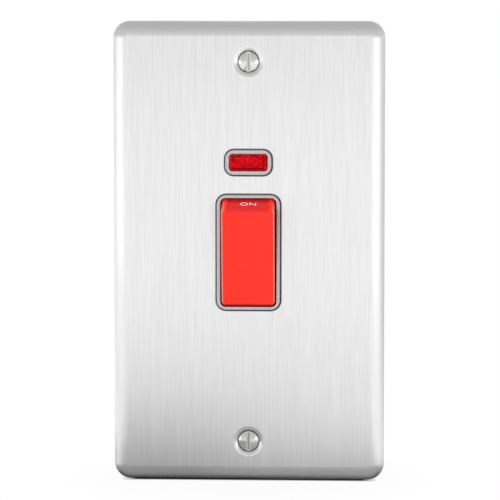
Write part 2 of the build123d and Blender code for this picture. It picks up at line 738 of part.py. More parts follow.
def neon_leads():
    top_z = neon_z - LEAD_IN_R / 2
    right = lead(
        (LEAD_X, lamp_y, top_z),
        (LEAD_X, lamp_y, lead_z),
        (LEAD_X, lead_end_y, lead_z),
        (terminal_inner_x, lead_end_y, lead_z),
    )
    left_front = lead(
        (-LEAD_X, lamp_y, top_z),
        (-LEAD_X, lamp_y, lead_z),
        (-LEAD_X, resistor_y, lead_z),
    )
    left_back = lead(
        (-LEAD_X, resistor_end_y, lead_z),
        (-LEAD_X, lead_end_y, lead_z),
        (-terminal_inner_x, lead_end_y, lead_z),
    )
    return [right + lamp_end(1), left_front + lamp_end(-1), left_back]


def neon_resistor():
    body = rod(RESISTOR_R, resistor_y, resistor_end_y, -LEAD_X, lead_z)
    return chamfer(body.edges().filter_by(GeomType.CIRCLE), RESISTOR_CHAMFER)


def neon_cover():
    z0 = neon_z - neon_half_z
    z1 = neon_z + neon_half_z
    edge = NEON_WALL + FIT_GAP
    lid = block(-neon_half_x, neon_half_x, neon_y, neon_y + COVER, z0, z1)
    lid = chamfer(lid.faces().sort_by(Axis.Y)[-1].edges(), COVER_CHAMFER)
    plug_x = neon_half_x - edge
    lid += block(-plug_x, plug_x, neon_y - COVER_PLUG, neon_y + OVERLAP, z0 + edge, z1 - edge)
    for x in (-SADDLE_X, SADDLE_X):
        reach = LAMP_R + HOLE_GAP
        lid += block(x - SADDLE / 2, x + SADDLE / 2, lamp_y, neon_y, neon_z - reach, neon_z + reach)
    return lid - cross_bar(LAMP_R + RUNNING_GAP, -LAMP_HALF, LAMP_HALF, lamp_y, neon_z)


def earth_terminal():
    half = EARTH_WIDTH / 2
    body = block(earth_x - half, earth_x + half, flange_y, earth_back_y, earth_z0, earth_z1)
    body = chamfer(body.edges().filter_by(Axis.Z), TERMINAL_CHAMFER)
    strap_end_y = flange_y + EARTH_STRAP
    tongue_x0 = earth_x - WASHER_R
    tongue_x1 = earth_x + WASHER_R
    body += block(tongue_x0, tongue_x1, flange_y, strap_end_y, earth_z1 - OVERLAP, -stud_z)
    body += rod(WASHER_R, flange_y, strap_end_y, earth_x, -stud_z)
    body -= rod(STUD_R + FIT_GAP, flange_y - PAST, strap_end_y + PAST, earth_x, -stud_z)
    body -= upright_bar(EARTH_BORE_R, earth_x, earth_bore_y, earth_z0 - PAST, earth_z1 + PAST)
    return body - rod(CLAMP_R + THREAD_GAP, earth_bore_y, earth_back_y + PAST, earth_x, earth_mid_z)


studs = stud_places()
plain_studs = [place for place in studs if not earthed(*place)]
ears = [(x * ear_x, z * EAR_POST_Z) for x in SIDES for z in SIDES]
load = terminal(1)
supply = terminal(-1)

nodes = {
    "front_plate": front_plate(),
    "fixing_screws": Compound([fixing_screw(side * fixing_z) for side in SIDES]),
    "weld_studs": Compound([weld_stud(*place) for place in studs]),
    "stud_washers": Compound([stud_washer(*place) for place in plain_studs]),
    "stud_nuts": Compound([stud_nut(*place) for place in studs]),
    "insert_frame": insert_frame(),
    "rocker": rocker(),
    "plunger_left": plunger(-1),
    "plunger_right": plunger(1),
    "plunger_spring_left": plunger_spring(-1),
    "plunger_spring_right": plunger_spring(1),
    "contact_arm_left": contact_arm(-1),
    "contact_arm_right": contact_arm(1),
    "moving_tips": Compound([moving_tip(side) for side in SIDES]),
    "fixed_tips": Compound([fixed_tip(side) for side in SIDES]),
    "load_terminal_left": mirror(load, Plane.YZ),
    "load_terminal_right": load,
    "supply_terminal_left": mirror(supply, Plane.YZ),
    "supply_terminal_right": supply,
    "terminal_screws": Compound(terminal_screws()),
    "switch_base": switch_base(),
    "base_screws": Compound([base_screw(*place) for place in ears]),
    "neon_lens": neon_lens(),
    "neon_lamp": neon_lamp(),
    "neon_electrodes": Compound([neon_electrode(side) for side in SIDES]),
    "neon_resistor": neon_resistor(),
    "neon_leads": Compound(neon_leads()),
    "neon_cover": neon_cover(),
    "earth_terminal": earth_terminal(),
    "earth_screw": clamp_screw(earth_x, earth_mid_z, EARTH_BORE_R, earth_back_y, earth_bore_y),
}

os.makedirs("parts", exist_ok=True)
for name, shape in nodes.items():
    export_step(shape, f"parts/{name}.step")
    print(name, "volume", round(shape.volume, 1), "solids", len(shape.solids()))
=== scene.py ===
# %% [markdown]
# # A cooker switch on a satin steel plate
#
# The object is a double pole switch with a neon lamp, on an upright plate of brushed stainless
# steel. Its solids arrive at their real size and in their real places, so this lesson is about
# looks: a camera, a soft studio, one finish for each material, and the small forms that only a
# close look shows, such as screw threads, lettering and the prisms in the red lens.
#
# The frame is in metres. +X is to the right, +Z is up, and the front of the plate faces -Y. Small
# pieces are measured in millimetres.

# %% Load the frame
import math

import bmesh
import bpy
from mathutils import Matrix, Vector


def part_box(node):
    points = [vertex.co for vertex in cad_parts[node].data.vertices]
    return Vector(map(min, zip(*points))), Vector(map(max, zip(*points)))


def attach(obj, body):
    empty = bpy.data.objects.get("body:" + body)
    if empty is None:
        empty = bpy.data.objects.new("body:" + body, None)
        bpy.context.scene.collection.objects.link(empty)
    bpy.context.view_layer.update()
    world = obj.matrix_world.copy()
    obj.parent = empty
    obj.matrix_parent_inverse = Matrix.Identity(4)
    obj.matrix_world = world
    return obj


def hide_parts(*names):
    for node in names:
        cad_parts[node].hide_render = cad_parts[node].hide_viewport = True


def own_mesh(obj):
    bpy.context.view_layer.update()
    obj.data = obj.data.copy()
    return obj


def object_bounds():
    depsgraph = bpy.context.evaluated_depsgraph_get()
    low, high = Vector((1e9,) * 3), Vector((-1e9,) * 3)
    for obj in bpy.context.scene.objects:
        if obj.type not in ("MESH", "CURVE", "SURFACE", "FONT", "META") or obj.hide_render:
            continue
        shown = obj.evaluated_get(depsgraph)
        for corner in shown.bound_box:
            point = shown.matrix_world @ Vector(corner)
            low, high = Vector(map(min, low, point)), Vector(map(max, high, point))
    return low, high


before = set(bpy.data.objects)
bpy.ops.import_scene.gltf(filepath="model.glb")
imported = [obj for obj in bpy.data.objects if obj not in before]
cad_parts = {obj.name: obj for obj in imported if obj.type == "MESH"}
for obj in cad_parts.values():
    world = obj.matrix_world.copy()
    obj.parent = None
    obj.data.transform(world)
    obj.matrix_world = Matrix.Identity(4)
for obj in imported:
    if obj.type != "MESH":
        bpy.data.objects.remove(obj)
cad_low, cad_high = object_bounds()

MM = 0.001
scene = bpy.context.scene
print("loaded", len(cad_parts), "solids, size in mm", [round(v / MM, 2) for v in cad_high - cad_low])

# %% [markdown]
# ## The camera
#
# The switch is seen almost square on, from a little above and a little to the right, through a
# long lens. A short lens from nearby would show the same front, but it would open up the sides of
# the plate. The eye and the aim below put the plate's corners, the two screws, the collar and the
# lens where the picture has them.

# %% Place the camera
EYE = Vector((47.95, -1000.0, 93.13)) * MM
AIM = Vector((0.26, 0.0, 0.33)) * MM
FOCAL_LENGTH = 227.7
SENSOR_WIDTH = 36.0

bpy.ops.object.camera_add(location=EYE)
camera = bpy.context.object
camera.name = "front_camera"
camera.rotation_euler = (AIM - EYE).to_track_quat("-Z", "Y").to_euler()
camera.data.lens = FOCAL_LENGTH
camera.data.sensor_width = SENSOR_WIDTH
camera.data.clip_start = 0.01
camera.data.clip_end = 50.0
scene.camera = camera
scene.view_settings.view_transform = "Standard"
print("camera", round((AIM - EYE).length, 3), "m from the switch")

# %% [markdown]
# ## Colours and sums
#
# A studio, like a brushed or moulded surface, is never one flat value. Each one below starts from a
# number that changes from place to place, such as a height or a noise, and turns it into a colour or
# into a share of something. A painted picture could do the same, but numbers have no seams and no
# resolution to run out of. Each of these helpers adds one kind of node.

# %% Colours from numbers


def grey(level):
    """Neutral colour of a level."""
    return (level, level, level)


def shades(tree, factor, dark, pale, start=0.3, end=0.7):
    """Colour that runs from dark to pale as the factor goes from start to end."""
    ramp = tree.nodes.new("ShaderNodeValToRGB")
    for element, place, colour in zip(ramp.color_ramp.elements, (start, end), (dark, pale)):
        element.position = place
        element.color = (*colour, 1.0)
    tree.links.new(factor, ramp.inputs["Fac"])
    return ramp.outputs["Color"]


def mixed(tree, share, first, second):
    """Colour that goes over from first to second with a share. Each is a node's output or plain RGB."""
    blend = tree.nodes.new("ShaderNodeMix")
    blend.data_type = "RGBA"
    tree.links.new(share, blend.inputs["Factor"])
    for socket, colour in (("A", first), ("B", second)):
        if isinstance(colour, tuple):
            blend.inputs[socket].default_value = (*colour, 1.0)
        else:
            tree.links.new(colour, blend.inputs[socket])
    return blend.outputs["Result"]


# %% Sums and choices


def split(tree, vector):
    """X, Y and Z of a vector."""
    axes = tree.nodes.new("ShaderNodeSeparateXYZ")
    tree.links.new(vector, axes.inputs["Vector"])
    return axes.outputs


def calc(tree, operation, *values):
    """Result of a Math node on numbers or on other nodes' outputs, kept between 0 and 1."""
    node = tree.nodes.new("ShaderNodeMath")
    node.operation = operation
    node.use_clamp = True
    for socket, value in zip(node.inputs, values):
        if isinstance(value, (int, float)):
            socket.default_value = value
        else:
            tree.links.new(value, socket)
    return node.outputs["Value"]


def largest(tree, first, *others):
    """Largest of several numbers."""
    for other in others:
        first = calc(tree, "MAXIMUM", first, other)
    return first


def product(tree, first, *others):
    """Product of several numbers."""
    for other in others:
        first = calc(tree, "MULTIPLY", first, other)
    return first


def choice(tree, share, first, second):
    """Shader that goes over from first to second with a share."""
    blend = tree.nodes.new("ShaderNodeMixShader")
    tree.links.new(share, blend.inputs["Fac"])
    tree.links.new(first, blend.inputs[1])
    tree.links.new(second, blend.inputs[2])
    return blend.outputs["Shader"]


# %% [markdown]
# ## The studio
#
# A wiring accessory is photographed on white, in light that comes from everywhere and a little
# more from the sides. Steel shows its surroundings, so the surroundings matter more than the lamps:
# a grey world that is paler round the horizon leaves the flat of the plate bright and its rolled
# top edge grey. A single strong lamp would give the plate one hot spot instead. The camera and
# clear plastic see plain white where the world is behind the switch.

# %% World
HORIZON_LEVEL = 0.72
OVERHEAD_LEVEL = 0.48
FAR_LEVEL = 0.80
HORIZON_BAND = 0.05
HORIZON_GLOW = 0.06
WHITE = grey(1.0)

world = bpy.data.worlds.new("studio")
scene.world = world
world.use_nodes = True
sky = world.node_tree
sky.nodes.clear()
height = split(sky, sky.nodes.new("ShaderNodeTexCoord").outputs["Generated"])["Z"]
rays = sky.nodes.new("ShaderNodeLightPath").outputs
lit = shades(sky, height, grey(HORIZON_LEVEL), grey(OVERHEAD_LEVEL), HORIZON_BAND, 1.0)
mirrored = shades(sky, height, grey(FAR_LEVEL), grey(OVERHEAD_LEVEL), 0.0, 1.0)
mirrored.node.color_ramp.elements.new(HORIZON_GLOW).color = (*grey(HORIZON_LEVEL), 1.0)
light = sky.nodes.new("ShaderNodeBackground")
sky.links.new(lit, light.inputs["Color"])
view = sky.nodes.new("ShaderNodeBackground")
sky.links.new(mixed(sky, rays["Is Glossy Ray"], WHITE, mirrored), view.inputs["Color"])
looked_at = largest(sky, rays["Is Camera Ray"], rays["Is Transmission Ray"], rays["Is Glossy Ray"])
surround = choice(sky, looked_at, light.outputs["Background"], view.outputs["Background"])
output = sky.nodes.new("ShaderNodeOutputWorld")
sky.links.new(surround, output.inputs["Surface"])
print("world from", HORIZON_LEVEL, "at the horizon to", OVERHEAD_LEVEL, "overhead")

# %% [markdown]
# Two soft lamps stand beside the switch, a little in front of it. They put the bright lines on the
# rolled sides of the plate and leave its flat alone. A third lamp, far out in front, brings the plastic
# pieces up to their own colours. It is kept out of mirrors, because the steel would show it as a patch.

# %% Lamps


def softbox(name, place, width, height, watts):
    """Soft lamp that faces the middle of the plate."""
    bpy.ops.object.light_add(type="AREA", location=place)
    lamp = bpy.context.object
    lamp.name = name
    lamp.data.shape = "RECTANGLE"
    lamp.data.size = width
    lamp.data.size_y = height
    lamp.data.energy = watts
    lamp.rotation_euler = (-Vector(place)).to_track_quat("-Z", "Y").to_euler()
    print(name, watts, "W")
    return lamp


softbox("left_softbox", place=(-0.60, -0.24, -0.02), width=0.60, height=0.26, watts=0.25)
softbox("right_softbox", place=(0.50, -0.42, -0.02), width=0.40, height=0.26, watts=0.25)
fill = softbox("front_fill", place=(-0.40, -1.45, 0.25), width=0.60, height=0.60, watts=16.0)
fill.visible_glossy = False

# %% [markdown]
# ## The floor
#
# The switch stands on a plain pale floor, a wide disc of matt paper. Away from the object the floor
# shows as white, and close to it the paper keeps the soft shadow. Making the floor white with stronger
# lamps would also bleach the steel.

# %% Floor
FLOOR_RADIUS = 6.0

bpy.ops.object.select_all(action="DESELECT")
bpy.ops.mesh.primitive_circle_add(
    vertices=96, radius=FLOOR_RADIUS, fill_type="NGON", location=(0.0, 0.0, cad_low.z)
)
floor = bpy.context.object
floor.name = "studio_floor"
print("floor at z", round(cad_low.z / MM, 2), "mm")

# %% [markdown]
# Every finish from here on is a Principled shader whose colour, roughness and relief come from the
# piece's own coordinates. With the room's coordinates a pattern would slide over a piece that moves.

# %% Finishes


def new_finish(name, **values):
    """A material with one Principled shader, and plain values set on the shader's own sockets."""
    finish = bpy.data.materials.new(name)
    finish.use_nodes = True
    shader = finish.node_tree.nodes["Principled BSDF"]
    for socket, value in values.items():
        shader.inputs[socket.replace("_", " ")].default_value = value
    return finish, finish.node_tree, shader


def feed(shader, **sources):
    """Link nodes' outputs to the shader's sockets."""
    for socket, source in sources.items():
        shader.id_data.links.new(source, shader.inputs[socket.replace("_", " ")])


# %% Places and noise


def own_place(tree):
    """Place of a point in its piece's own coordinates."""
    return tree.nodes.new("ShaderNodeTexCoord").outputs["Object"]


def mapped(tree, vector, move=(0.0, 0.0, 0.0), stretch=(1.0, 1.0, 1.0)):
    """Vector that is scaled axis by axis and then moved."""
    mapping = tree.nodes.new("ShaderNodeMapping")
    mapping.inputs["Location"].default_value = move
    mapping.inputs["Scale"].default_value = stretch
    tree.links.new(vector, mapping.inputs["Vector"])
    return mapping.outputs["Vector"]


def length(tree, vector):
    """Length of a vector."""
    node = tree.nodes.new("ShaderNodeVectorMath")
    node.operation = "LENGTH"
    tree.links.new(vector, node.inputs[0])
    return node.outputs["Value"]


def grain(tree, scale, stretch=(1.0, 1.0, 1.0), detail=2.0, roughness=0.5):
    """Noise on a piece with features of about 1 / scale metres, stretched axis by axis."""
    noise = tree.nodes.new("ShaderNodeTexNoise")
    for socket, value in (("Scale", scale), ("Detail", detail), ("Roughness", roughness)):
        noise.inputs[socket].default_value = value
    tree.links.new(mapped(tree, own_place(tree), stretch=stretch), noise.inputs["Vector"])
    return noise.outputs["Fac"]


def between(tree, factor, low, high, start=0.3, end=0.7):
    """Number that runs from low to high as the factor goes from start to end."""
    spread = tree.nodes.new("ShaderNodeMapRange")
    for socket, value in (("From Min", start), ("From Max", end), ("To Min", low), ("To Max", high)):
        spread.inputs[socket].default_value = value
    tree.links.new(factor, spread.inputs["Value"])
    return spread.outputs["Result"]


def rising(tree, factor, start, end):
    """Share that runs from 0 to 1 as the factor goes from start to end."""
    return between(tree, factor, 0.0, 1.0, start, end)


# %% [markdown]
# No light gets in under the rim of the plate, so a painted shadow is laid there: the paper is coloured
# nearly black, and the plate stands on a thin dark line. Shadow alone would be lost in the white. The
# strip lies under the plate and just in front of it, and ends at the plate's rounded corners. Each pair
# below is where a change starts and ends, in metres from the middle of the plate.

# %% Paper with its painted shadow strip
STRIP_SIDE = (0.042, 0.046)
STRIP_FRONT = (0.002, 0.0045)
STRIP_BACK = (0.0, 0.0006)

paper, tree, shader = new_finish("studio_paper", Roughness=0.9)
floor_place = own_place(tree)
floor_x = split(tree, floor_place)["X"]
floor_y = split(tree, floor_place)["Y"]
beside = calc(tree, "ABSOLUTE", floor_x)
before = calc(tree, "ABSOLUTE", floor_y)
behind = rising(tree, floor_y, *STRIP_BACK)
outside_painted_shadow = largest(tree, rising(tree, beside, *STRIP_SIDE), rising(tree, before, *STRIP_FRONT), behind)
mottle = grain(tree, scale=40.0)
painted_shadow_paper = shades(tree, mottle, grey(0.012), grey(0.016))
pale_paper = shades(tree, mottle, grey(0.40), grey(0.43))
# Painted shadow: nearly black paper in the strip under and before the plate, pale paper elsewhere.
feed(shader, Base_Color=mixed(tree, outside_painted_shadow, painted_shadow_paper, pale_paper))
floor.data.materials.append(paper)
print("dark strip to", STRIP_FRONT[1] / MM, "mm in front of the wall plane")

# %% [markdown]
# For the camera the paper gives way to plain white, all but the strip, a faint shade round the foot of
# the plate and a deeper one close behind it. Each row of four is two levels, then the distances at
# which the first level ends and the second starts.

# %% White floor for the camera
SHADE_SIDE = (0.036, 0.041)
SHADE_FRONT = (0.003, 0.005)
SHADE_BACK = (0.45, 1.0, 0.0, 0.016)
SHADOW = (0.95, 1.0, 0.02, 0.065)

shade_behind = product(tree, behind, between(tree, floor_y, *SHADE_BACK))
clear = largest(tree, rising(tree, beside, *SHADE_SIDE), rising(tree, before, *SHADE_FRONT), shade_behind)
span = length(tree, floor_place)
rays = tree.nodes.new("ShaderNodeLightPath").outputs
looked_at = largest(tree, rays["Is Camera Ray"], rays["Is Transmission Ray"])
shown = product(tree, clear, between(tree, span, *SHADOW), looked_at)
print("floor white from", SHADOW[3], "m outwards")

# %% [markdown]
# The flat of the plate mirrors the floor before it, the foot of the plate the nearest part and its top
# the farthest. For mirror rays the floor's glow is painted light, graded by place: white comes in with
# distance, and sooner on the right. So the steel shows painted shading: the foot is grey and the plate
# pales upwards, and sooner on the right. The rolled sides mirror the floor beside the plate, whose
# painted glow is white closer in. Lamps could shade the plate as well, but a satin mirror shows what it
# faces far more than what lights it.

# %% Floor in the steel, with painted light
MIRROR_REACH = 0.21
MIRROR_CURVE = 0.66
RIGHT_PART = (0.2, 2.6, -0.02, 0.055)
LEFT_PART = (1.0, 0.2, -0.13, -0.08)
SIDE_START = 0.05
SIDE_GAIN = 5.0
BESIDE_PLATE = (0.047, 0.066)
LEVEL_WITH_PLATE = (0.85, 0.0, 0.010, 0.030)
LEFT_SIDE = (1.0, 0.4, -0.02, 0.02)
BACK_PART = (1.0, 0.52, 0.0, 0.10)
LEFT_HALF = (1.0, 0.0, -0.02, 0.02)
FAR_LEFT = (0.85, 1.0, -2.4, -0.2)
FAR_FLOOR = (1.0, FAR_LEVEL, 1.3, 5.5)

sideways = largest(tree, between(tree, floor_x, *RIGHT_PART), between(tree, floor_x, *LEFT_PART))
aside = calc(tree, "MULTIPLY", calc(tree, "SUBTRACT", beside, SIDE_START), SIDE_GAIN)
away = product(tree, largest(tree, before, aside), sideways)
painted_mirror_paling = calc(tree, "POWER", calc(tree, "DIVIDE", away, MIRROR_REACH), MIRROR_CURVE)
level = between(tree, before, *LEVEL_WITH_PLATE)
sides = product(tree, rising(tree, beside, *BESIDE_PLATE), level, between(tree, floor_x, *LEFT_SIDE))
back = largest(tree, between(tree, floor_y, *BACK_PART), between(tree, floor_x, *LEFT_HALF))
outer = product(tree, between(tree, floor_x, *FAR_LEFT), between(tree, span, *FAR_FLOOR))
# Painted light: the floor's glow as mirror rays see it, graded by place to shade the steel.
mirrored = product(tree, largest(tree, painted_mirror_paling, sides), back, outer, rays["Is Glossy Ray"])

glow = tree.nodes.new("ShaderNodeEmission")
share = largest(tree, shown, mirrored)
surface = choice(tree, share, shader.outputs["BSDF"], glow.outputs["Emission"])
tree.links.new(surface, tree.nodes["Material Output"].inputs["Surface"])
print("mirrored floor is white from", MIRROR_REACH, "m in front")

# %% [markdown]
# ## Satin steel
#
# The plate was brushed from top to bottom with an abrasive belt, so its scratches are long and
# upright. Two things show that: fine streaks, and highlights that spread sideways across them. The
# streaks are noise stretched along Z, as there are far too many to model, and the spread is the
# shader's anisotropy.

# %% Brushed plate


def relief(tree, shader, height, strength, depth):
    """Bump on the shader, with a depth in millimetres."""
    bump = tree.nodes.new("ShaderNodeBump")
    bump.inputs["Strength"].default_value = strength
    bump.inputs["Distance"].default_value = depth * MM
    tree.links.new(height, bump.inputs["Height"])
    feed(shader, Normal=bump.outputs["Normal"])


def dress(finish, *nodes):
    """Give a finish to the solids of these names."""
    for node in nodes:
        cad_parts[node].material_slots[0].material = finish
    print(finish.name, "on", ", ".join(nodes))


plate_finish, tree, shader = new_finish("satin_steel", Metallic=1.0, Anisotropic=0.9)
streaks = grain(tree, scale=7200.0, stretch=(1.0, 0.6, 0.010), roughness=0.6)
bands = grain(tree, scale=420.0, stretch=(1.0, 0.3, 0.02))
feed(shader, Base_Color=shades(tree, streaks, grey(0.83), grey(0.965)))
feed(shader, Roughness=between(tree, bands, 0.27, 0.34))
relief(tree, shader, streaks, strength=0.04, depth=0.01)
dress(plate_finish, "front_plate")

# %% [markdown]
# ## Mouldings
#
# The rocker is a gloss red moulding, the collars are part of a grey frame, and the base is a dark
# heat-proof moulding. All have the faint mottling of pigment and the fine skin that a mould leaves.

# %% Dark moulding
PIGMENT_SCALE = 700.0
PIGMENT_DETAIL = 4.0
SKIN_SCALE = 5200.0
SKIN_DEPTH = 0.03
ROUGH_SPREAD = 0.15


def moulded_skin(tree, shader, smooth, rough, strength):
    """The fine skin of a mould, in the shader's roughness and relief."""
    texture = grain(tree, SKIN_SCALE)
    feed(shader, Roughness=between(tree, texture, smooth, rough))
    relief(tree, shader, texture, strength, SKIN_DEPTH)


def moulding(name, dark, pale, rough, skin):
    """Pigmented plastic with a slight mottle, and a moulded skin of the given strength."""
    finish, tree, shader = new_finish(name)
    feed(shader, Base_Color=shades(tree, grain(tree, PIGMENT_SCALE, detail=PIGMENT_DETAIL), dark, pale))
    moulded_skin(tree, shader, rough * (1.0 - ROUGH_SPREAD), rough * (1.0 + ROUGH_SPREAD), skin)
    return finish


dark_finish = moulding("dark_moulding", (0.018, 0.018, 0.020), (0.040, 0.040, 0.043), rough=0.46, skin=0.30)
dress(dark_finish, "switch_base")

# %% [markdown]
# The rocker is gloss red all over, apart from the shallow field that carries the legend. That field is
# painted a shade deeper, as painted shade on the upturned end; its roughness is the same as the rest. It
# is picked out by three things that it alone has: it faces up, it lies between the two end strips, and
# it is sunk below the rest of the curve. The rounded long edges are painted paler, as painted highlights,
# and they are found by how far they turn to the side.

# %% Red rocker with painted shade on its field and painted highlights on its edges
PIVOT_Y = 1.9 * MM
FIELD_HALF = 6.5 * MM
FIELD_R = 18.15 * MM
UPTURNED = 0.5
EDGE_TURN = (0.1, 0.4)
FRONT_TURN = (-0.4, -0.6)
EDGE_HIGHLIGHT_RED = (1.0, 0.24, 0.17)


def own_facing(tree):
    """Direction that a surface faces, in its piece's own coordinates."""
    return tree.nodes.new("ShaderNodeTexCoord").outputs["Normal"]


red_finish, tree, shader = new_finish("red_moulding", Specular_IOR_Level=0.45)
facing = split(tree, own_facing(tree))
upturned = calc(tree, "GREATER_THAN", facing["Z"], UPTURNED)
across = calc(tree, "ABSOLUTE", split(tree, own_place(tree))["X"])
from_pivot = mapped(tree, own_place(tree), move=(0.0, -PIVOT_Y, 0.0), stretch=(0.0, 1.0, 1.0))
sunk = calc(tree, "LESS_THAN", length(tree, from_pivot), FIELD_R)
# Painted shade: the upturned legend field is coloured a deeper red.
field = product(tree, upturned, calc(tree, "LESS_THAN", across, FIELD_HALF), sunk)
pigment = grain(tree, PIGMENT_SCALE, detail=PIGMENT_DETAIL)
gloss_red = shades(tree, pigment, (0.94, 0.020, 0.009), (0.98, 0.026, 0.012))
painted_shade_red = shades(tree, pigment, (0.73, 0.016, 0.016), (0.79, 0.022, 0.021))
# Painted highlight: the long edges that turn to the side are coloured paler.
forward = rising(tree, facing["Y"], *FRONT_TURN)
turned = product(tree, rising(tree, calc(tree, "ABSOLUTE", facing["X"]), *EDGE_TURN), forward)
painted_edge_highlight = product(tree, turned, between(tree, pigment, 0.7, 1.0))
feed(shader, Base_Color=mixed(tree, painted_edge_highlight, mixed(tree, field, gloss_red, painted_shade_red), EDGE_HIGHLIGHT_RED))
moulded_skin(tree, shader, smooth=0.20, rough=0.28, strength=0.05)
dress(red_finish, "rocker")

# %% [markdown]
# The collars carry a pale satin coat, pressed on from the front as a foil. Their walls and the frame
# behind are a dark grey, partly the bare grey of the moulding and partly painted shade, which is why the
# collars have thin dark outlines. Both are one solid, so the coat is told from the rest by its depth and
# by the way that it faces.

# %% Grey frame with coated collars, and painted shade in the gaps round them
COAT_DEPTH = -4.8 * MM
COAT_TURN = (-0.25, -0.45)

grey_finish, tree, shader = new_finish("grey_moulding")
proud = calc(tree, "LESS_THAN", split(tree, own_place(tree))["Y"], COAT_DEPTH)
coated = product(tree, proud, rising(tree, split(tree, own_facing(tree))["Y"], *COAT_TURN))
pigment = grain(tree, PIGMENT_SCALE, detail=PIGMENT_DETAIL)
# Partly painted shade: the dark grey darkens the gaps and walls round the collars.
bare_and_shaded_grey = shades(tree, pigment, (0.155, 0.157, 0.160), (0.190, 0.192, 0.195))
coat_grey = shades(tree, pigment, (0.42, 0.425, 0.43), (0.47, 0.475, 0.48))
feed(shader, Base_Color=mixed(tree, coated, bare_and_shaded_grey, coat_grey))
moulded_skin(tree, shader, smooth=0.32, rough=0.42, strength=0.12)
dress(grey_finish, "insert_frame", "neon_cover")

# %% [markdown]
# ## Metals inside and behind
#
# Each metal is bright where it was cut or stamped and duller where air has reached it. Two noises
# give that: a slow one for tarnish in the colour, and a fine one, stretched along the way the bar was
# drawn, for tool marks in the roughness and the relief.

# %% Zinc, brass, copper, silver and spring steel
MARK_SCALE = 6000.0
UPRIGHT = (1.0, 1.0, 0.06)
INWARD = (1.0, 0.06, 1.0)


def metal(name, dull, bright, rough, drawn=(1.0, 1.0, 1.0), patches=350.0):
    """Bare or plated metal with tarnish in patches, and tool marks along the way it was drawn."""
    finish, tree, shader = new_finish(name, Metallic=1.0)
    tarnish = grain(tree, patches, detail=5.0, roughness=0.6)
    marks = grain(tree, MARK_SCALE, drawn, detail=3.0)
    feed(shader, Base_Color=shades(tree, tarnish, dull, bright))
    feed(shader, Roughness=between(tree, marks, rough * 0.75, rough * 1.25))
    relief(tree, shader, marks, strength=0.08, depth=0.02)
    return finish


zinc_finish = metal("zinc_steel", (0.58, 0.58, 0.55), (0.72, 0.73, 0.76), 0.34, patches=900.0)
brass_finish = metal("brass", (0.60, 0.40, 0.15), (0.82, 0.60, 0.27), 0.28, UPRIGHT)
copper_finish = metal("copper", (0.60, 0.27, 0.15), (0.86, 0.45, 0.29), 0.30, UPRIGHT)
silver_finish = metal("silver", (0.70, 0.68, 0.64), (0.90, 0.89, 0.87), 0.26, patches=1200.0)
spring_finish = metal("spring_steel", (0.34, 0.34, 0.35), (0.52, 0.52, 0.54), 0.30, INWARD, 800.0)

dress(zinc_finish, "base_screws", "terminal_screws", "earth_screw", "stud_washers", "neon_electrodes")
dress(brass_finish, "load_terminal_left", "load_terminal_right", "supply_terminal_left")
dress(brass_finish, "supply_terminal_right", "earth_terminal")
dress(copper_finish, "contact_arm_left", "contact_arm_right")
dress(silver_finish, "moving_tips", "fixed_tips")

# %% [markdown]
# ## Plungers, lamp and leads
#
# The plungers are milky acetal, and the leads have a pale sleeve: both are mouldings with a soft
# gloss. The lamp is clear glass with a faint haze. The resistor is buff with four colour bands, and
# the bands are steps of a colour ramp along its length, because paint rings are too thin to model.

# %% Plastics and glass
acetal_finish = moulding("acetal", (0.74, 0.73, 0.69), (0.84, 0.83, 0.79), rough=0.36, skin=0.10)
sleeve_finish = moulding("lead_sleeve", (0.60, 0.58, 0.54), (0.72, 0.70, 0.66), rough=0.42, skin=0.10)
dress(acetal_finish, "plunger_left", "plunger_right")
dress(sleeve_finish, "neon_leads")

glass_finish, tree, shader = new_finish("lamp_glass", Transmission_Weight=1.0, IOR=1.5)
haze = grain(tree, scale=900.0, detail=3.0)
feed(shader, Base_Color=shades(tree, haze, (0.93, 0.94, 0.94), grey(0.99)))
feed(shader, Roughness=between(tree, haze, 0.02, 0.08))
dress(glass_finish, "neon_lamp")

# %% Banded resistor
BODY_BUFF = (0.52, 0.38, 0.22, 1.0)
BANDS = (
    (0.18, (0.30, 0.16, 0.03, 1.0)),
    (0.27, BODY_BUFF),
    (0.38, (0.01, 0.01, 0.01, 1.0)),
    (0.47, BODY_BUFF),
    (0.58, (0.70, 0.50, 0.02, 1.0)),
    (0.67, BODY_BUFF),
    (0.80, (0.42, 0.28, 0.08, 1.0)),
    (0.88, BODY_BUFF),
)
resistor_low, resistor_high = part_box("neon_resistor")

resistor_finish, tree, shader = new_finish("resistor_body")
along = rising(tree, split(tree, own_place(tree))["Y"], resistor_low.y, resistor_high.y)
rings = tree.nodes.new("ShaderNodeValToRGB")
rings.color_ramp.interpolation = "CONSTANT"
rings.color_ramp.elements[0].color = BODY_BUFF
rings.color_ramp.elements[1].position, rings.color_ramp.elements[1].color = BANDS[0]
for position, colour in BANDS[1:]:
    rings.color_ramp.elements.new(position).color = colour
tree.links.new(along, rings.inputs["Fac"])
lacquer = grain(tree, scale=3000.0, detail=3.0)
feed(shader, Base_Color=rings.outputs["Color"], Roughness=between(tree, lacquer, 0.25, 0.40))
dress(resistor_finish, "neon_resistor")

# %% [markdown]
# ## Fixing screws
#
# Two raised countersunk screws hold the plate to the wall box. Each is spun from its outline: a low
# dome, a thin rim, the countersink, a plain neck and the core of the thread. The outline could be
# typed in as a list of faces, but drawing it by extruding a single vertex and spinning it is how it
# is done by hand, and the spun shape is easy to change.

# %% Start and edit a piece
TOUCHING = 0.001 * MM


def new_piece(add, name, **settings):
    """Add a primitive with nothing else selected, and put its place and its turn into its mesh."""
    bpy.ops.object.select_all(action="DESELECT")
    add(**settings)
    piece = bpy.context.object
    piece.name = name
    bpy.ops.object.transform_apply(location=True, rotation=True, scale=True)
    return piece


def only(piece):
    """Select this piece alone and make it active."""
    bpy.ops.object.select_all(action="DESELECT")
    piece.select_set(True)
    bpy.context.view_layer.objects.active = piece


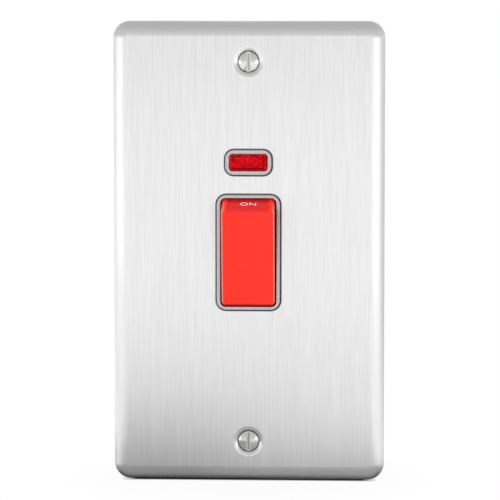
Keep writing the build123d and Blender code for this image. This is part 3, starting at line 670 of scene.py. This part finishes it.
def edit_all(piece):
    """Open this piece alone in edit mode, with the whole of its mesh selected."""
    only(piece)
    bpy.ops.object.mode_set(mode="EDIT")
    bpy.ops.mesh.select_all(action="SELECT")


# %% Draw and spin


def draw_line(name, points):
    """New line of edges, left in edit mode. Its points are radius and place along Y, in millimetres."""
    line = new_piece(bpy.ops.mesh.primitive_plane_add, name, size=MM)
    places = [Vector((radius, y, 0.0)) * MM for radius, y in points]
    edit_all(line)
    bpy.ops.mesh.select_mode(type="VERT")
    bpy.ops.mesh.merge(type="CENTER")
    bpy.ops.transform.translate(value=places[0])
    for start, end in zip(places, places[1:]):
        bpy.ops.mesh.extrude_vertices_move(TRANSFORM_OT_translate={"value": end - start})
    return line


def spin_line(steps):
    """Spin the line in edit mode once round the Y axis, and close the seam and the poles."""
    bpy.ops.mesh.select_all(action="SELECT")
    bpy.ops.mesh.spin(steps=steps, angle=2.0 * math.pi, center=(0.0, 0.0, 0.0), axis=(0.0, 1.0, 0.0))
    bpy.ops.mesh.select_all(action="SELECT")
    bpy.ops.mesh.remove_doubles(threshold=TOUCHING)
    bpy.ops.mesh.normals_make_consistent(inside=False)
    bpy.ops.object.mode_set(mode="OBJECT")


# %% Screw blank
HEAD_R = 3.4
HEAD_DOME = 0.9
DOME_R = (HEAD_R**2 + HEAD_DOME**2) / (2.0 * HEAD_DOME)
DOME_SHARE = 0.97
DOME_STEPS = 8
RIM_Y = -4.4
RIM_FRONT = RIM_Y + 0.02
RIM_BACK = RIM_Y + 0.14
RIM_TAPER = 0.05
NECK_R = 1.55
NECK_END = -0.2
CORE_R = 1.42
SCREW_END = 22.0
POINT = 0.7
POINT_TAPER = 0.5

dome = []
for step in range(DOME_STEPS + 1):
    radius = HEAD_R * DOME_SHARE * step / DOME_STEPS
    dome.append((radius, RIM_Y - HEAD_DOME + DOME_R - math.sqrt(DOME_R**2 - radius**2)))
stem = [
    (HEAD_R, RIM_FRONT),
    (HEAD_R - RIM_TAPER, RIM_BACK),
    (NECK_R, RIM_Y + HEAD_R - NECK_R),
    (NECK_R, NECK_END),
    (CORE_R, 0.0),
    (CORE_R, SCREW_END - POINT),
    (CORE_R - POINT_TAPER, SCREW_END),
    (0.0, SCREW_END),
]
screw = draw_line("fixing_screw_top", dome + stem)
spin_line(48)
print("screw blank", len(screw.data.polygons), "faces")

# %% [markdown]
# The slot is cut with a Boolean, and a small Bevel takes the sharpness off its edges, as tumbling and
# plating do. Moving faces by hand would also make a slot, but it would spoil the dome round it.

# %% Screw slot
SLOT_WIDTH = 1.3
CUTTER_HEIGHT = 2.0
CUTTER_LENGTH = 3.0 * HEAD_R
SOFT_EDGE = 0.09 * MM
SHARP = math.radians(40.0)


def apply_modifier(piece, kind, **settings):
    """Add a modifier with these settings and apply it."""
    modifier = piece.modifiers.new(kind.lower(), kind)
    for setting, value in settings.items():
        setattr(modifier, setting, value)
    bpy.context.view_layer.objects.active = piece
    bpy.ops.object.modifier_apply(modifier=modifier.name)


middle = Vector((0.0, RIM_Y - CUTTER_HEIGHT / 2.0, 0.0)) * MM
cutter = new_piece(bpy.ops.mesh.primitive_cube_add, "slot_cutter", size=MM, location=middle)
edit_all(cutter)
bpy.ops.transform.resize(value=(SLOT_WIDTH, CUTTER_HEIGHT, CUTTER_LENGTH))
bpy.ops.object.mode_set(mode="OBJECT")
apply_modifier(screw, "BOOLEAN", operation="DIFFERENCE", object=cutter, solver="EXACT")
bpy.data.objects.remove(cutter)
apply_modifier(screw, "BEVEL", width=SOFT_EDGE, segments=2, limit_method="ANGLE", angle_limit=SHARP)
print("slotted screw", len(screw.data.polygons), "faces")

# %% [markdown]
# The thread is a tooth carried round the core by the Screw modifier. A bump pattern would be lighter,
# but the thread shows in outline from behind. A swept piece has doubled points and open ends, so it is
# sealed before it joins the screw.

# %% Select and seal


def pick_edges(piece, test):
    """In edit mode, select just the edges whose two ends both pass a test of place in millimetres."""
    bpy.ops.mesh.select_mode(type="EDGE")
    bpy.ops.mesh.select_all(action="DESELECT")
    mesh = bmesh.from_edit_mesh(piece.data)
    for edge in mesh.edges:
        edge.select_set(all(test(vertex.co / MM) for vertex in edge.verts))
    bmesh.update_edit_mesh(piece.data)


def wind(profile, pitch, turns, steps):
    """Carry a profile round the Y axis, with a pitch in millimetres."""
    rise = pitch * MM
    apply_modifier(
        profile, "SCREW", axis="Y", screw_offset=rise, iterations=turns, steps=steps, render_steps=steps
    )


def sealed(piece):
    """Merge a piece's doubled points, fill its open ends and turn its faces outward."""
    edit_all(piece)
    bpy.ops.mesh.remove_doubles(threshold=TOUCHING)
    bpy.ops.mesh.select_all(action="SELECT")
    bpy.ops.mesh.fill_holes(sides=0)
    bpy.ops.mesh.select_all(action="SELECT")
    bpy.ops.mesh.normals_make_consistent(inside=False)
    bpy.ops.object.mode_set(mode="OBJECT")


# %% Screw thread
ROOT_SINK = 0.06
ROOT_SHARE = 0.86
CREST_SHARE = 0.18
THREAD_STEPS = 20
THREAD_R = 1.75
THREAD_PITCH = 0.6
THREAD_START = 0.5
THREAD_TURNS = 34


def thread(name, core_r, crest_r, pitch, start_y, turns):
    """Closed helical tooth round the Y axis, with its root sunk in the core."""
    root_r = core_r - ROOT_SINK
    middle = Vector(((root_r + crest_r) / 2.0, start_y, 0.0)) * MM
    crest = Vector((crest_r, start_y, 0.0)) * MM
    tooth = new_piece(bpy.ops.mesh.primitive_plane_add, name, size=MM, location=middle)
    edit_all(tooth)
    bpy.ops.transform.resize(value=(crest_r - root_r, ROOT_SHARE * pitch, 1.0), center_override=middle)
    pick_edges(tooth, lambda place: place.x > (root_r + crest_r) / 2.0)
    bpy.ops.transform.resize(value=(1.0, CREST_SHARE, 1.0), center_override=crest)
    bpy.ops.mesh.select_all(action="SELECT")
    bpy.ops.mesh.delete(type="ONLY_FACE")
    bpy.ops.object.mode_set(mode="OBJECT")
    wind(tooth, pitch, turns, THREAD_STEPS)
    sealed(tooth)
    return tooth


ridge = thread("fixing_thread", CORE_R, THREAD_R, THREAD_PITCH, THREAD_START, THREAD_TURNS)
print("thread", THREAD_TURNS, "turns,", len(ridge.data.polygons), "faces")

# %% [markdown]
# A piece is made at the origin, where it is easy to spin and cut. Then its mesh goes to its place, and
# its object stays at the origin, as those of the solids do. What repeats is made once and copied.

# %% Two screws in their places
SMOOTH_BELOW = math.radians(32.0)


def shift(piece, move):
    """Move a piece's mesh by millimetres, with its object left at the origin."""
    edit_all(piece)
    bpy.ops.transform.translate(value=Vector(move) * MM)
    bpy.ops.object.mode_set(mode="OBJECT")


def copy_of(piece, name, move):
    """Copy of a piece with its own mesh, moved by millimetres."""
    only(piece)
    bpy.ops.object.duplicate(linked=False)
    twin = bpy.context.object
    twin.name = name
    shift(twin, move)
    return twin


def joined(piece, *others):
    """Join other pieces into this one, put its object at the origin and smooth it."""
    only(piece)
    for other in others:
        other.select_set(True)
    if others:
        bpy.ops.object.join()
    bpy.ops.object.transform_apply(location=True, rotation=True, scale=True)
    bpy.ops.object.shade_smooth_by_angle(angle=SMOOTH_BELOW)
    return piece


fixing_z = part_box("fixing_screws")[1].z / MM - HEAD_R
joined(screw, ridge)
shift(screw, (0.0, 0.0, fixing_z))
lower_screw = copy_of(screw, "fixing_screw_bottom", (0.0, 0.0, -2.0 * fixing_z))
print("screws at z", round(fixing_z, 2), "and", round(-fixing_z, 2), "mm")

# %% [markdown]
# The screws are nickel plated and bright, so they mirror the studio in patches. Fine noise in the
# roughness stands for handling marks. Painted shade darkens the middle of the slot and the seam round
# the head. The seam is found by distance from the screw's axis, and the slot by its depth and its middle
# plane.

# %% Plated screws
SEAM = ((HEAD_R - 0.32) * MM, (HEAD_R - 0.22) * MM)
SLOT_Y = (RIM_Y - 0.3) * MM
SLOT_SHADE_R = 2.7 * MM
SLOT_SHADE = (0.5, 0.0, 0.20 * MM, 0.42 * MM)
HEAD_BACK = (RIM_Y + 0.3) * MM


def finished(piece, finish, slot, body, *nodes):
    """Give a piece its finish, the body that it rides on and the solids that it replaces. The slot is not
    used.
    """
    piece.data.materials.clear()
    piece.data.materials.append(finish)
    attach(piece, body)
    if nodes:
        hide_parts(*nodes)
    piece.data.calc_loop_triangles()
    print(piece.name, len(piece.data.loop_triangles), "triangles on", body)


plated_finish, tree, shader = new_finish("plated_screw", Metallic=1.0)
axes = split(tree, own_place(tree))
folded = tree.nodes.new("ShaderNodeCombineXYZ")
tree.links.new(axes["X"], folded.inputs["X"])
tree.links.new(calc(tree, "ABSOLUTE", axes["Z"]), folded.inputs["Z"])
from_axis = length(tree, mapped(tree, folded.outputs["Vector"], move=(0.0, 0.0, -fixing_z * MM)))
sunk = calc(tree, "GREATER_THAN", axes["Y"], SLOT_Y)
inner = calc(tree, "LESS_THAN", from_axis, SLOT_SHADE_R)
in_slot = product(tree, sunk, inner, between(tree, calc(tree, "ABSOLUTE", axes["X"]), *SLOT_SHADE))
in_front = calc(tree, "LESS_THAN", axes["Y"], HEAD_BACK)
# Painted shade in the seam round the head and along the middle of the slot.
painted_shade_mask = product(tree, largest(tree, rising(tree, from_axis, *SEAM), in_slot), in_front)
marks = grain(tree, scale=2600.0, detail=3.0)
bright = shades(tree, marks, (0.72, 0.72, 0.71), (0.88, 0.88, 0.87))
painted_shade_colour = shades(tree, marks, (0.05, 0.05, 0.05), (0.14, 0.14, 0.13))
feed(shader, Base_Color=mixed(tree, painted_shade_mask, bright, painted_shade_colour), Roughness=between(tree, marks, 0.07, 0.16))
finished(screw, plated_finish, "plated_screw", "switch", "fixing_screws")
finished(lower_screw, plated_finish, "plated_screw", "switch", "fixing_screws")

# %% [markdown]
# ## The neon lens
#
# The lens is a small red moulding, clear enough for the lamp behind it to light it up. Inside its
# front wall are rows of little pyramids that break up the light. It is made in one pass from a grid:
# the grid's squares are poked into pyramids, and its border is carried back along the pocket, out
# round the foot, and forward to the front. Many small cutters would leave a far worse mesh.

# %% Lens wall
LENS_FRONT = -5.75
POCKET_Y = -4.55
FOOT_FRONT = -2.2
FOOT_BACK = -1.2
POCKET = (9.6, 4.0)
FOOT = (13.8, 7.0)
LENS = (12.0, 5.2)
PRISMS = (10, 4)

lens = new_piece(
    bpy.ops.mesh.primitive_grid_add,
    "neon_lens_prisms",
    x_subdivisions=PRISMS[0],
    y_subdivisions=PRISMS[1],
    size=MM,
    rotation=(math.radians(90.0), 0.0, 0.0),
)
edit_all(lens)
bpy.ops.transform.resize(value=(POCKET[0], 1.0, POCKET[1]))
bpy.ops.transform.translate(value=(0.0, POCKET_Y * MM, 0.0))


def carry_border(size, old_size, move):
    """Extrude the border that is selected, resize it and move it along Y."""
    bpy.ops.mesh.extrude_edges_move(TRANSFORM_OT_translate={"value": (0.0, move * MM, 0.0)})
    ratio = (size[0] / old_size[0], 1.0, size[1] / old_size[1])
    bpy.ops.transform.resize(value=ratio, center_override=(0.0, 0.0, 0.0))


bpy.ops.mesh.select_mode(type="EDGE")
bpy.ops.mesh.region_to_loop()
carry_border(POCKET, POCKET, FOOT_BACK - POCKET_Y)
carry_border(FOOT, POCKET, 0.0)
carry_border(FOOT, FOOT, FOOT_FRONT - FOOT_BACK)
carry_border(LENS, FOOT, 0.0)
carry_border(LENS, LENS, LENS_FRONT - FOOT_FRONT)
bpy.ops.mesh.edge_face_add()
print("lens wall", LENS[0], "by", LENS[1], "mm with", PRISMS[0] * PRISMS[1], "squares")

# %% Lens corners and prisms
LENS_CORNER = 0.95 * MM
LENS_BEVEL = 0.4 * MM
PRISM_HEIGHT = 0.45 * MM
NEAR = 0.01

half_x = LENS[0] / 2.0
half_z = LENS[1] / 2.0
pick_edges(lens, lambda p: abs(abs(p.x) - half_x) < NEAR and abs(abs(p.z) - half_z) < NEAR)
bpy.ops.mesh.bevel(offset=LENS_CORNER, segments=5, affect="EDGES")
pick_edges(lens, lambda p: abs(p.y - LENS_FRONT) < NEAR)
bpy.ops.mesh.bevel(offset=LENS_BEVEL, segments=3, affect="EDGES")

bpy.ops.mesh.select_mode(type="FACE")
bpy.ops.mesh.select_all(action="DESELECT")
mesh = bmesh.from_edit_mesh(lens.data)
for face in mesh.faces:
    face.select_set(abs(face.calc_center_median().y / MM - POCKET_Y) < NEAR)
bmesh.update_edit_mesh(lens.data)
bpy.ops.mesh.poke(offset=PRISM_HEIGHT)
bpy.ops.mesh.select_all(action="SELECT")
bpy.ops.mesh.remove_doubles(threshold=TOUCHING)
bpy.ops.mesh.normals_make_consistent(inside=False)
bpy.ops.object.mode_set(mode="OBJECT")

lens_low, lens_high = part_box("neon_lens")
lens_z = (lens_low.z + lens_high.z) / 2.0 / MM
shift(lens, (0.0, 0.0, lens_z))
joined(lens)
print("lens spans", [round(v / MM, 2) for v in lens.dimensions])

# %% [markdown]
# The red of the lens changes from cell to cell, a painted sparkle for the light that the moulded prisms
# break up. The step where the front meets the pocket is painted as a broken dark line, a painted shade
# where it shows through.

# %% Red lens finish, with painted sparkle and a painted shade line
STEP_X = 4.75 * MM
STEP_Z = 1.95 * MM
STEP_WIDTH = 0.17 * MM
STEP_BREAKS = (0.47, 0.55)
STEP_SHADE_RED = (0.03, 0.0, 0.001)
FACET_SCALE = 1100.0

lens_finish, tree, shader = new_finish(
    "red_lens", Roughness=0.05, IOR=1.3, Transmission_Weight=0.25, Specular_IOR_Level=0.05
)
axes = split(tree, mapped(tree, own_place(tree), move=(0.0, 0.0, -lens_z * MM)))
across = calc(tree, "ABSOLUTE", axes["X"])
up = calc(tree, "ABSOLUTE", axes["Z"])
on_side = calc(tree, "COMPARE", across, STEP_X, STEP_WIDTH)
on_side = product(tree, on_side, calc(tree, "LESS_THAN", up, STEP_Z))
on_end = calc(tree, "COMPARE", up, STEP_Z, STEP_WIDTH)
on_end = product(tree, on_end, calc(tree, "LESS_THAN", across, STEP_X))
broken = rising(tree, grain(tree, scale=420.0), *STEP_BREAKS)
facets = tree.nodes.new("ShaderNodeTexVoronoi")
facets.inputs["Scale"].default_value = FACET_SCALE
tree.links.new(own_place(tree), facets.inputs["Vector"])
# Painted sparkle in the cells, and a painted shade line along the step.
painted_sparkle = shades(tree, facets.outputs["Distance"], (1.0, 0.001, 0.008), (0.45, 0.0, 0.003), 0.15, 0.8)
step = product(tree, largest(tree, on_side, on_end), broken)
feed(shader, Base_Color=mixed(tree, step, painted_sparkle, STEP_SHADE_RED))
finished(lens, lens_finish, "red_lens", "switch", "neon_lens")

# %% [markdown]
# ## The legend
#
# ON is printed in white in the shallow field across the rocker's upper end, wide and low. The word
# starts as text, becomes a mesh, and is stretched to its printed size before it goes to its place on
# the curve. It could be painted by the rocker's finish, but letters drawn with nodes have rough edges.
# It is a thin pad of ink that rides with the rocker.

# %% Printed ON
TEXT_THICK = 0.05
TEXT_TOUCHING = 0.0001
LEGEND_R = 17.97 * MM
LEGEND_ANGLE = math.radians(30.2)
LEGEND_SIZE = (4.95, 1.55, 0.07)
LEGEND_WEIGHT = -0.014
RIGHTWARD = Vector((1.0, 0.0, 0.0))


def raised_word(name, word, size, centre, right, upward, weight=0.0):
    """Word of a width, height and thickness in millimetres, read along right, with its top upward."""
    bpy.ops.object.select_all(action="DESELECT")
    bpy.ops.object.text_add()
    text = bpy.context.object
    text.name = name
    text.data.body = word
    text.data.extrude = TEXT_THICK
    text.data.offset = weight
    bpy.ops.object.convert(target="MESH")
    piece = bpy.context.object
    edit_all(piece)
    bpy.ops.mesh.remove_doubles(threshold=TEXT_TOUCHING)
    bpy.ops.object.mode_set(mode="OBJECT")
    bpy.ops.object.origin_set(type="ORIGIN_GEOMETRY", center="BOUNDS")
    turn = Matrix((right, upward, right.cross(upward))).transposed()
    piece.scale = [wanted * MM / extent for wanted, extent in zip(size, piece.dimensions)]
    piece.rotation_euler = turn.to_euler()
    piece.location = centre
    return joined(piece)


outward = Vector((0.0, -math.sin(LEGEND_ANGLE), math.cos(LEGEND_ANGLE)))
back_along = Vector((0.0, math.cos(LEGEND_ANGLE), math.sin(LEGEND_ANGLE)))
legend_place = Vector((0.0, PIVOT_Y, 0.0)) + outward * LEGEND_R
legend = raised_word(
    "rocker_legend_on", "ON", LEGEND_SIZE, legend_place, RIGHTWARD, back_along, LEGEND_WEIGHT
)

ink_finish, tree, shader = new_finish("white_ink", Roughness=0.45)
cover = grain(tree, scale=3000.0, detail=3.0)
feed(shader, Base_Color=shades(tree, cover, (0.88, 0.86, 0.85), (0.95, 0.94, 0.93)))
finished(legend, ink_finish, "acetal", "rocker")

# %% [markdown]
# ## Plunger springs
#
# In each socket of the rocker a spring presses a plunger against its contact arm. The end coils are
# closed, so that the spring stands square, and the coils between them are open. The wire is a small
# circle that is wound in three runs, with a tight pitch at both ends. A curve with a bevel would give
# the same wire, but with every coil plotted point by point. As a plunger is pushed in its spring gets
# shorter.

# %% Coil springs
SPRING_R = 1.15
WIRE_R = 0.25
WIRE_SIDES = 10
COIL_STEPS = 24
SPRING_START = -8.42
SPRING_END = 5.72
CLOSED_PITCH = 0.52
OPEN_TURNS = 5
POLE_X = 3.6
ROCKER_TILT = math.radians(7.0)


def coil(name, start_y, pitch, turns):
    """Open tube of wire that is wound round the Y axis, from a start and with a pitch in millimetres."""
    wire = new_piece(
        bpy.ops.mesh.primitive_circle_add,
        name,
        vertices=WIRE_SIDES,
        radius=WIRE_R * MM,
        location=(SPRING_R * MM, start_y * MM, 0.0),
    )
    wind(wire, pitch, turns, COIL_STEPS)
    return wire


open_pitch = (SPRING_END - SPRING_START - 2.0 * CLOSED_PITCH) / OPEN_TURNS
left_spring = coil("plunger_coil_left", SPRING_START, CLOSED_PITCH, 1)
open_coils = coil("open_coils", SPRING_START + CLOSED_PITCH, open_pitch, OPEN_TURNS)
last_coil = coil("last_coil", SPRING_END - CLOSED_PITCH, CLOSED_PITCH, 1)
joined(left_spring, open_coils, last_coil)
sealed(left_spring)
left_spring.rotation_euler.x = ROCKER_TILT
left_spring.location = (-POLE_X * MM, PIVOT_Y, 0.0)
bpy.ops.object.transform_apply(location=True, rotation=True, scale=True)
right_spring = copy_of(left_spring, "plunger_coil_right", (2.0 * POLE_X, 0.0, 0.0))
finished(left_spring, spring_finish, "spring_steel", "rocker", "plunger_spring_left")
finished(right_spring, spring_finish, "spring_steel", "rocker", "plunger_spring_right")

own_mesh(left_spring)
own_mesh(right_spring)

# %% [markdown]
# ## Studs and nuts
#
# Four threaded studs are welded to the back of the plate, and a nut on each holds the frame. The stud
# is spun and gets its thread in the same way as the fixing screws. A plain rod with a bump pattern
# would do from the front, but the studs are in full view from behind.

# %% Weld studs
STUD_R = 1.5
STUD_CORE_R = 1.24
STUD_FOOT_R = 2.2
FOOT_EDGE = 0.5
FOOT_END = 0.7
SHANK_END = 2.2
CORE_START = 2.4
STUD_POINT = 0.2
STUD_TAPER = 0.3
STUD_PITCH = 0.5
STUD_THREAD_START = 2.75
STUD_TURNS = 6
CORNERS = ((2, -2.0, 0.0), (3, 0.0, -2.0), (4, -2.0, -2.0))

studs_low, studs_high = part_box("weld_studs")
stud_start = studs_low.y / MM
stud_end = studs_high.y / MM
stud_x = studs_high.x / MM - STUD_FOOT_R
stud_z = studs_high.z / MM - STUD_FOOT_R
stud = draw_line("weld_stud_1", [
    (0.0, stud_start),
    (STUD_FOOT_R, stud_start),
    (STUD_FOOT_R, stud_start + FOOT_EDGE),
    (STUD_R, stud_start + FOOT_END),
    (STUD_R, stud_start + SHANK_END),
    (STUD_CORE_R, stud_start + CORE_START),
    (STUD_CORE_R, stud_end - STUD_POINT),
    (STUD_CORE_R - STUD_TAPER, stud_end),
    (0.0, stud_end),
])
spin_line(32)
ridge = thread("stud_thread", STUD_CORE_R, STUD_R, STUD_PITCH, stud_start + STUD_THREAD_START, STUD_TURNS)
joined(stud, ridge)
shift(stud, (stud_x, 0.0, stud_z))
studs = [stud]
for number, x, z in CORNERS:
    studs.append(copy_of(stud, f"weld_stud_{number}", (x * stud_x, 0.0, z * stud_z)))
for stud in studs:
    finished(stud, zinc_finish, "zinc_steel", "switch", "weld_studs")

# %% [markdown]
# The nut starts as a six-sided bar. Its corners are turned off by keeping only what lies inside a spun
# barrel, which leaves the curved chamfers that a real nut has. A Bevel would only make straight ones.
# The bore, with a countersink at both ends, is spun and cut away in the same way.

# %% Nut blank
NUT_FLATS = 5.5
NUT_THICK = 2.2
CORNER_R = NUT_FLATS / math.sqrt(3.0)
BARREL_FACE_R = NUT_FLATS / 2.0 - 0.1
BARREL_R = CORNER_R + 0.1
CHAMFER = 0.32
half_nut = NUT_THICK / 2.0

nut = new_piece(
    bpy.ops.mesh.primitive_cylinder_add,
    "stud_nut_1",
    vertices=6,
    radius=CORNER_R * MM,
    depth=NUT_THICK * MM,
    rotation=(math.radians(90.0), math.radians(30.0), 0.0),
)
barrel = draw_line("nut_barrel", [
    (0.0, -half_nut),
    (BARREL_FACE_R, -half_nut),
    (BARREL_R, CHAMFER - half_nut),
    (BARREL_R, half_nut - CHAMFER),
    (BARREL_FACE_R, half_nut),
    (0.0, half_nut),
])
spin_line(48)
apply_modifier(nut, "BOOLEAN", operation="INTERSECT", object=barrel, solver="EXACT")
bpy.data.objects.remove(barrel)
print("nut", len(nut.data.polygons), "faces inside the barrel")

# %% Bored nuts on the studs
NUT_BORE_R = 1.53
SINK_R = NUT_BORE_R + 0.55
SINK_DEPTH = 0.25
PAST_FACE = 0.3

bore = draw_line("nut_bore", [
    (0.0, -half_nut - PAST_FACE),
    (SINK_R, -half_nut - PAST_FACE),
    (NUT_BORE_R, SINK_DEPTH - half_nut),
    (NUT_BORE_R, half_nut - SINK_DEPTH),
    (SINK_R, half_nut + PAST_FACE),
    (0.0, half_nut + PAST_FACE),
])
spin_line(48)
apply_modifier(nut, "BOOLEAN", operation="DIFFERENCE", object=bore, solver="EXACT")
bpy.data.objects.remove(bore)
sealed(nut)
joined(nut)

nuts_low, nuts_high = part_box("stud_nuts")
plain_nut_y = nuts_low.y / MM + half_nut
earth_rise = nuts_high.y / MM - half_nut - plain_nut_y
shift(nut, (stud_x, plain_nut_y, stud_z))
nuts = [nut]
for number, x, z in CORNERS:
    rise = earth_rise if number == 4 else 0.0
    nuts.append(copy_of(nut, f"stud_nut_{number}", (x * stud_x, rise, z * stud_z)))
for nut in nuts:
    finished(nut, zinc_finish, "zinc_steel", "switch", "stud_nuts")

# %% [markdown]
# ## Moulded marks on the back
#
# An electrician reads the back: LOAD at the top, SUPPLY at the bottom, and L and N beside their own
# terminals. The marks stand in the sunk panel of the base, a little below its rim, so that the base
# can be laid on its back. They are words made into meshes, as the printed ON is, and their tops are
# rubbed paler than the base.

# %% Words in the panel
PANEL_SINK = 0.5
WORD_RISE = 0.3
WORD_ROOT = 0.03
LEFTWARD = Vector((-1.0, 0.0, 0.0))
UP = Vector((0.0, 0.0, 1.0))
WORDS = (
    ("mark_load", "LOAD", (6.4, 1.7), (0.0, 13.2)),
    ("mark_supply", "SUPPLY", (8.6, 1.7), (0.0, -13.2)),
    ("mark_load_l", "L", (1.3, 2.0), (3.6, 17.3)),
    ("mark_load_n", "N", (1.6, 2.0), (-3.6, 17.3)),
    ("mark_supply_l", "L", (1.3, 2.0), (3.6, -17.3)),
    ("mark_supply_n", "N", (1.6, 2.0), (-3.6, -17.3)),
)

panel_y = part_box("switch_base")[1].y / MM - PANEL_SINK
rubbed_finish = moulding("rubbed_marks", (0.075, 0.075, 0.078), (0.130, 0.130, 0.134), rough=0.36, skin=0.15)
for name, word, (width, height), (x, z) in WORDS:
    centre = Vector((x, panel_y + WORD_RISE / 2.0 - WORD_ROOT, z)) * MM
    mark = raised_word(name, word, (width, height, WORD_RISE), centre, LEFTWARD, UP)
    finished(mark, rubbed_finish, "dark_moulding", "switch")

# %% [markdown]
# The earth sign is moulded on the frame beside the earth terminal: an upright and three bars, each
# shorter than the last. Few fonts have it, so each bar is shaped from a cube with its edges taken off.

# %% Earth sign
FLANGE_Y = -2.2
SIGN_X = -19.8
SIGN_Z = -51.4
SIGN_RISE = 0.35
SIGN_ROOT = 0.05
BAR = 0.5
BAR_EDGE = 0.1 * MM
UPRIGHT_BAR = (BAR, 2.2, -1.0)
LONGEST_BAR = 3.6
BAR_STEP = 1.2
BAR_PITCH = 0.9


def sign_bar(name, width, height, drop):
    """Bar of the earth sign with bevelled edges, hung below the middle of the sign."""
    bar = new_piece(bpy.ops.mesh.primitive_cube_add, name, size=MM)
    edit_all(bar)
    bpy.ops.transform.resize(value=(width, SIGN_RISE, height))
    bpy.ops.mesh.bevel(offset=BAR_EDGE, segments=2, affect="EDGES")
    bpy.ops.object.mode_set(mode="OBJECT")
    shift(bar, (SIGN_X, FLANGE_Y + SIGN_RISE / 2.0 - SIGN_ROOT, SIGN_Z - drop))
    return bar


sign = sign_bar("earth_sign", *UPRIGHT_BAR)
bars = []
for row in range(3):
    bars.append(sign_bar(f"earth_bar_{row}", LONGEST_BAR - BAR_STEP * row, BAR, BAR_PITCH * row))
joined(sign, *bars)
finished(sign, grey_finish, "grey_moulding", "switch")

# %% [markdown]
# Round witness marks show where pins pushed the frame out of its mould. Each is a low ring, spun once
# and copied to the open bays of the frame. In a bump pattern they would have no edge to catch the light.

# %% Ejector marks
PIN_R = 2.2
RING_ROOT = FLANGE_Y - 0.05
RING_SHOULDER = FLANGE_Y + 0.10
RING_TOP = FLANGE_Y + 0.14
PIN_PLACES = ((33.0, 27.0), (33.0, 0.0), (33.0, -27.0), (9.0, 42.0), (9.0, -42.0))

ring = draw_line("ejector_marks", [
    (PIN_R, RING_ROOT),
    (PIN_R + 0.05, RING_SHOULDER),
    (PIN_R + 0.20, RING_TOP),
    (PIN_R + 0.35, RING_SHOULDER),
    (PIN_R + 0.40, RING_ROOT),
    (PIN_R, RING_ROOT),
])
spin_line(40)
places = [(side * x, z) for x, z in PIN_PLACES for side in (-1.0, 1.0)]
rings = [copy_of(ring, f"ejector_mark_{index}", (x, 0.0, z)) for index, (x, z) in enumerate(places[1:])]
shift(ring, (places[0][0], 0.0, places[0][1]))
joined(ring, *rings)
finished(ring, grey_finish, "grey_moulding", "switch")
